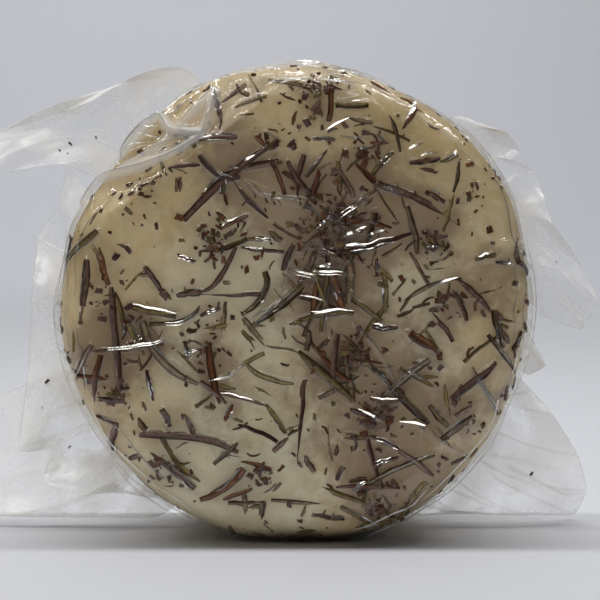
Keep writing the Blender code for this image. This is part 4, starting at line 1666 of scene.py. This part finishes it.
# Crumbs that the loose film holds: x, z off the wheel's middle and length, all in millimetres
LOOSE_SPECKS = (
    (-58.8, 41.5, 1.0), (-61.4, 39.6, 0.7), (-59.4, 38.8, 0.5), (-65.7, -21.4, 1.5), (-67.0, -28.7, 0.7),
    (-59.6, -39.0, 0.9), (62.7, -46.0, 1.1), (-52.0, 43.0, 0.7), (69.0, 10.0, 0.6),
)


@dataclass
class LooseFilm:
    """The bag's loose ends, which stick out on both sides of the wheel."""

    columns: int = 20  # grid columns from one rib to the next
    rows: int = 46
    seed: int = 5
    root_depth: float = 3 * MM
    root_lift: float = 0.6 * MM
    roundness: float = 0.2  # how much the sheets bend over their ribs instead of creasing
    folds_a_rib: float = 1.2
    fold_height: float = 1.8 * MM
    fold_reach: float = 6.0 * MM
    line_width: float = 0.45 * MM  # of the whitened line along a crease
    edge_radius: float = 0.10 * MM
    rib_white: float = 0.45  # how white the film is along a rib
    knee_share: float = 0.45  # how far out a rib goes on straight before it bends, against its length
    floor_gap: float = 0.05 * MM
    fold_span: float = 1.1  # how many ribs a fold may cross
    fold_whites: tuple[float, float] = (0.1, 0.6)
    speck_shape: tuple[float, float, float] = (1.0, 0.25, 0.5)  # against its length
    speck_tone: float = 0.2
    edge_finish: FilmFinish = FilmFinish(
        "film_edge", tint=(0.98, 0.98, 0.985, 1.0), haze=0.35, edge_haze=0.5, roughness=0.2, wrinkle=0.02 * MM,
        wrinkle_size=2 * MM, gloss=0.06,
    )
    finish: FilmFinish = FilmFinish(
        "film_loose", tint=(0.975, 0.98, 0.985, 1.0), haze=0.33, edge_haze=0.6, roughness=0.20, wrinkle=0.05 * MM,
        wrinkle_size=6 * MM, gloss=0.035, crease_haze=0.5,
    )

    def build(self) -> None:
        """Makes a piece of each loose sheet."""
        material = self.finish.material()
        threads = Threads("film_edges", self.edge_finish, BAR)
        all_places = []
        for number, sheet in enumerate(LOOSE_SHEETS):
            bm = bmesh.new()
            spans = len(sheet.ribs) - 1
            bmesh.ops.create_grid(bm, x_segments=self.columns * spans, y_segments=self.rows, size=0.5)
            mesh = mesh_from(bm, sheet.name)
            flat = vertex_places(mesh)
            place = (flat[:, 0] + 0.5) * spans
            places, white = self.drawn(sheet, place, flat[:, 1] + 0.5, number)
            away = np.abs(place - np.rint(place)) * self.columns
            at_rib = (away < 0.5) * (np.rint(place) > 0) * (np.rint(place) < spans)
            keep_number(mesh, "crease", np.clip(white + at_rib * self.rib_white, 0, 1))
            move_vertices(mesh, places)
            finish_piece(mesh, sheet.name, material, "film", "vacuum_bag")
            self.edges(sheet, number, threads)
            all_places.append(places)
        threads.build()
        self.specks(np.concatenate(all_places))

    def specks(self, surface: np.ndarray) -> None:
        """Lays crumbs of herb on the loose film, in front of the nearest of the surface's points.

        Args:
            surface: points of the loose film, one row each.
        """
        draw = random.Random(self.seed)
        bm = bmesh.new()
        places = []
        for x, z, length in LOOSE_SPECKS:
            bmesh.ops.create_cube(bm, size=1)
            off = np.hypot(surface[:, 0] - x * MM, surface[:, 2] - z * MM - WHEEL.centre_height)
            middle = surface[int(np.argmin(off))] - (0, 0.2 * MM, 0)
            turn = Matrix.Rotation(draw.uniform(0, math.tau), 3, "Y")
            size = Vector([length * share for share in self.speck_shape]) * MM
            for vert in list(bm.verts)[-8:]:
                corner = Vector([c * s * draw.uniform(0.5, 1.3) for c, s in zip(vert.co, size)])
                places.append(np.array(turn @ corner) + middle)
        tones, grooves = np.full(len(places), self.speck_tone), np.full(len(places), CRUMB_GROOVE)
        finish_herb(bm, "crumbs_loose", Herb.PLUM, np.array(places), tones, grooves)

    def edges(self, sheet: Sheet, number: int, threads: Threads) -> None:
        """Runs a thread along the sheet's free border.

        Args:
            sheet: the sheet.
            number: its number.
            threads: what the thread is added to.
        """
        spans = len(sheet.ribs) - 1
        for step in range(spans):
            place = step + np.linspace(0, 1, threads.lengths + 1)
            threads.add(self.drawn(sheet, place, np.ones_like(place), number)[0], self.edge_radius)
        for place in (0.0, float(spans)):
            down = np.linspace(0.05, 1, threads.lengths + 1)
            threads.add(self.drawn(sheet, np.full_like(down, place), down, number)[0], self.edge_radius)

    def rib(self, rib: Rib, down: np.ndarray) -> np.ndarray:
        """Points of one rib, which leaves the rim straight outwards and bends to its free end.

        Args:
            rib: the rib.
            down: 0 at the rim and 1 at the free end.

        Returns:
            Points off the wheel's middle, one row each.
        """
        angle = math.radians(rib.angle)
        outwards = np.array([math.cos(angle), 0, math.sin(angle)])
        radius = float(WHEEL.rim_radius(np.array([angle]))[0]) + self.root_lift
        root = outwards * radius + np.array([0, self.root_depth, 0])
        tip = np.array([rib.x, rib.y, rib.z]) * MM
        knee = root + outwards * np.linalg.norm(tip - root) * self.knee_share
        first = root + (knee - root) * down[:, None]
        second = knee + (tip - knee) * down[:, None]
        return first + (second - first) * down[:, None]

    def ruled(self, sheet: Sheet, place: np.ndarray, down: np.ndarray) -> np.ndarray:
        """The sheet drawn taut from rib to rib, before it is creased, in coordinates off the wheel's middle.

        Args:
            sheet: the sheet.
            place: position across the ribs, a whole number on each.
            down: 0 at the rim and 1 at the free end.

        Returns:
            Coordinates, one row a point.
        """
        last = len(sheet.ribs) - 1
        left = np.minimum(place.astype(int), last - 1)
        share = (place - left)[:, None]
        lines = [self.rib(rib, down) for rib in sheet.ribs]
        before, start, end, after = (
            np.choose(np.clip(left + step, 0, last)[:, None], lines) for step in (-1, 0, 1, 2)
        )
        taut = start + (end - start) * share
        bent = start + (end - start) * share * share * (3 - 2 * share)
        bent += (end - before) / 2 * share * (1 - share) ** 2 - (after - start) / 2 * share**2 * (1 - share)
        return taut + (bent - taut) * self.roundness

    def drawn(self, sheet: Sheet, place: np.ndarray, down: np.ndarray, number: int) -> tuple[np.ndarray, np.ndarray]:
        """The sheet's surface with its creases.

        Args:
            sheet: the sheet.
            place: position across the ribs, a whole number on each.
            down: 0 at the rim and 1 at the free end.
            number: the sheet's number, which tells its creases from the others'.

        Returns:
            World coordinates, one row a point, and how white the film is there.
        """
        points = self.ruled(sheet, place, down)
        free = np.sin(np.clip(down * 1.6, 0, math.pi / 2))
        draw = random.Random(self.seed * 31 + number)
        last = len(sheet.ribs) - 1
        white = np.zeros(len(points))
        rise = np.zeros(len(points))
        for _ in range(round(self.folds_a_rib * last)):
            first = draw.uniform(0, last)
            final = min(max(first + draw.uniform(-self.fold_span, self.fold_span), 0.0), float(last))
            downs = np.array([draw.uniform(0, 0.4), draw.uniform(0.75, 1.05)])
            ends = self.ruled(sheet, np.array([first, final]), downs)
            start, run = ends[0, ::2], ends[1, ::2] - ends[0, ::2]
            flat = points[:, ::2] - start
            along = np.clip(flat @ run / max(run @ run, TINY_SQUARE), 0, 1)
            away = np.hypot(*(flat - along[:, None] * run).T)
            height = draw.choice((-1, 1)) * draw.uniform(0.4, 1.0)
            rise += height * np.clip(1 - away / self.fold_reach, 0, 1)
            white += draw.uniform(*self.fold_whites) * np.exp(-((away / self.line_width) ** 2))
        points[:, 1] += rise * self.fold_height * free
        points[:, 2] = np.maximum(points[:, 2] + WHEEL.centre_height, self.floor_gap)
        return points, white


@dataclass(frozen=True)
class Softbox:
    """A rectangular lamp."""

    name: str
    place: tuple[float, float, float]
    target: tuple[float, float, float]
    width: float
    height: float
    watts: float
    colour: tuple[float, float, float] = (0.99, 0.99, 1.0)

    def hang(self) -> bpy.types.Object:
        """Adds the lamp to the scene."""
        data = bpy.data.lights.new(self.name, "AREA")
        data.shape = "RECTANGLE"
        data.size, data.size_y = self.width, self.height
        data.energy = self.watts
        data.color = self.colour
        lamp = bpy.data.objects.new(self.name, data)
        lamp.location = self.place
        lamp.rotation_euler = (Vector(self.target) - Vector(self.place)).to_track_quat("-Z", "Y").to_euler()
        bpy.context.scene.collection.objects.link(lamp)
        return lamp


@dataclass(frozen=True)
class Studio:
    """The pale sweep, the soft lights and the camera."""

    overhead: Softbox = Softbox("overhead", (-0.12, 0.03, 0.96), (-0.12, 0.02, 0.03), 1.8, 0.06, 7.9)
    key: Softbox = Softbox("key", (-0.08, -0.42, 0.64), (0, 0.0, 0.06), 0.85, 0.09, 1.05, (1.0, 0.96, 0.89))
    fill: Softbox = Softbox("fill", (-0.20, -0.62, 0.03), (0, 0.0, 0.03), 0.5, 0.2, 1.1, (1.0, 0.96, 0.90))
    haze: Softbox = Softbox("haze", (-0.1, -0.5, 0.7), (0, 0.0, 0.06), 0.8, 0.5, 3.2)
    backdrop: Softbox = Softbox("backdrop", (-0.22, 1.6, 1.6), (-0.22, 2.6, 0.4), 1.8, 0.6, 13.1)
    distance: float = 546 * MM
    lens: float = 124.8
    elevation: float = 3.0
    aim: tuple[float, float, float] = (1.5 * MM, 0.0, 60.5 * MM)
    sensor_width: float = 36  # in millimetres, as the lens
    apron_start: float = -2.0
    apron_end: float = -0.12  # in front of what the camera sees of the floor
    wall_start: float = 1.6  # where the floor begins to bend up
    wall_bend: float = 0.9
    sweep_length: float = 4.0  # from the wheel, along the floor and up the wall
    half_width: float = 4
    paper: tuple[float, ...] = srgb(236, 238, 243)
    paper_roughness: float = 0.75

    def build(self) -> None:
        """Sets up everything that isn't part of the object."""
        self.sweep()
        self.camera()
        self.overhead.hang()
        self.keep_on_object(self.key.hang())
        fill = self.fill.hang()
        self.keep_on_object(fill)
        fill.visible_glossy = False
        self.keep_on_loose_film(self.haze.hang())
        self.backdrop.hang()
        self.world()
        bpy.context.scene.view_settings.view_transform = "Standard"

    @staticmethod
    def world() -> None:
        """Faint light from all round, and stronger light from high above and behind the wheel."""
        world = bpy.data.worlds.new("studio")
        b = Bench(world, "ShaderNodeOutputWorld")
        direction = Wire(b, b.node("ShaderNodeTexCoord", {}, {}).outputs["Generated"])
        split = b.node("ShaderNodeSeparateXYZ", {}, {0: direction})
        above = Wire(b, split.outputs["Z"]).ramp(0.55, 0.9)
        behind = Wire(b, split.outputs["Y"]).ramp(-0.02, 0.25)
        strength = 0.04 + above * behind * 0.7
        b.surface(b.node("ShaderNodeBackground", {}, {"Color": (1.0, 0.99, 0.98, 1), "Strength": strength}))
        bpy.context.scene.world = world

    def sweep(self) -> None:
        """A floor that curves up into a backdrop, and in front of it an apron that the flat film doesn't mirror."""
        b = Bench.for_material("sweep")
        values = {"Base Color": self.paper, "Roughness": self.paper_roughness}
        material = b.surface(b.node("ShaderNodeBsdfPrincipled", {}, values))
        bend = self.wall_bend
        for name, first, last in (
            ("sweep", self.apron_end, self.sweep_length), ("apron", self.apron_start, self.apron_end),
        ):
            bm = bmesh.new()
            bmesh.ops.create_grid(bm, x_segments=1, y_segments=48, size=1)
            for vert in bm.verts:
                run = first + (last - first) * (vert.co.y + 1) / 2
                turn = min(max((run - self.wall_start) / bend, 0.0), math.pi / 2)
                past = max(run - self.wall_start - bend * math.pi / 2, 0.0)
                away = min(run, self.wall_start) + bend * math.sin(turn)
                vert.co = (vert.co.x * self.half_width, away, bend * (1 - math.cos(turn)) + past)
            mesh = mesh_from(bm, name)
            mesh.polygons.foreach_set("use_smooth", [True] * len(mesh.polygons))
            mesh.materials.append(material)
            floor = bpy.data.objects.new(name, mesh)
            bpy.context.scene.collection.objects.link(floor)
        floor.visible_glossy = False

    def camera(self) -> None:
        """The camera, level with the wheel's middle and a little above it."""
        data = bpy.data.cameras.new("camera")
        data.lens = self.lens
        data.sensor_width = self.sensor_width
        data.clip_start = 0.01
        camera = bpy.data.objects.new("camera", data)
        pitch = math.radians(self.elevation)
        aim = Vector(self.aim)
        camera.location = aim + Vector((0, -math.cos(pitch), math.sin(pitch))) * self.distance
        camera.rotation_euler = (math.radians(90) - pitch, 0, 0)
        bpy.context.scene.collection.objects.link(camera)
        bpy.context.scene.camera = camera

    @staticmethod
    def keep_on_loose_film(lamp: bpy.types.Object) -> None:
        """Lights the loose film alone, whose haze glows with light from all round.

        Args:
            lamp: the light.
        """
        lit = bpy.data.collections.new("lit_by_" + lamp.name)
        for sheet in LOOSE_SHEETS:
            lit.objects.link(bpy.data.objects[sheet.name])
        lamp.light_linking.receiver_collection = lit

    @staticmethod
    def keep_on_object(lamp: bpy.types.Object) -> None:
        """Keeps a light off the sweep, where the wheel's contact shadow is the overhead's.

        Args:
            lamp: the light.
        """
        unlit = bpy.data.collections.new("unlit_by_" + lamp.name)
        for place, name in enumerate(("sweep", "apron")):
            unlit.objects.link(bpy.data.objects[name])
            unlit.collection_objects[place].light_linking.link_state = "EXCLUDE"
        lamp.light_linking.receiver_collection = unlit


def main() -> None:
    """Builds the cheese, its herbs, its film and the studio."""
    logging.basicConfig(level=logging.INFO, format="%(message)s")
    heights = {side: Field() for side in Side}
    rosemary = Rosemary(heights)
    rosemary.build()
    CheeseBody(heights).build()
    skin = FilmSkin(heights)
    skin.build()
    skin.wrinkles(rosemary.needles, random.Random(WRINKLE_SEED))
    LooseFilm().build()
    Studio().build()


if __name__ == "__main__":
    main()
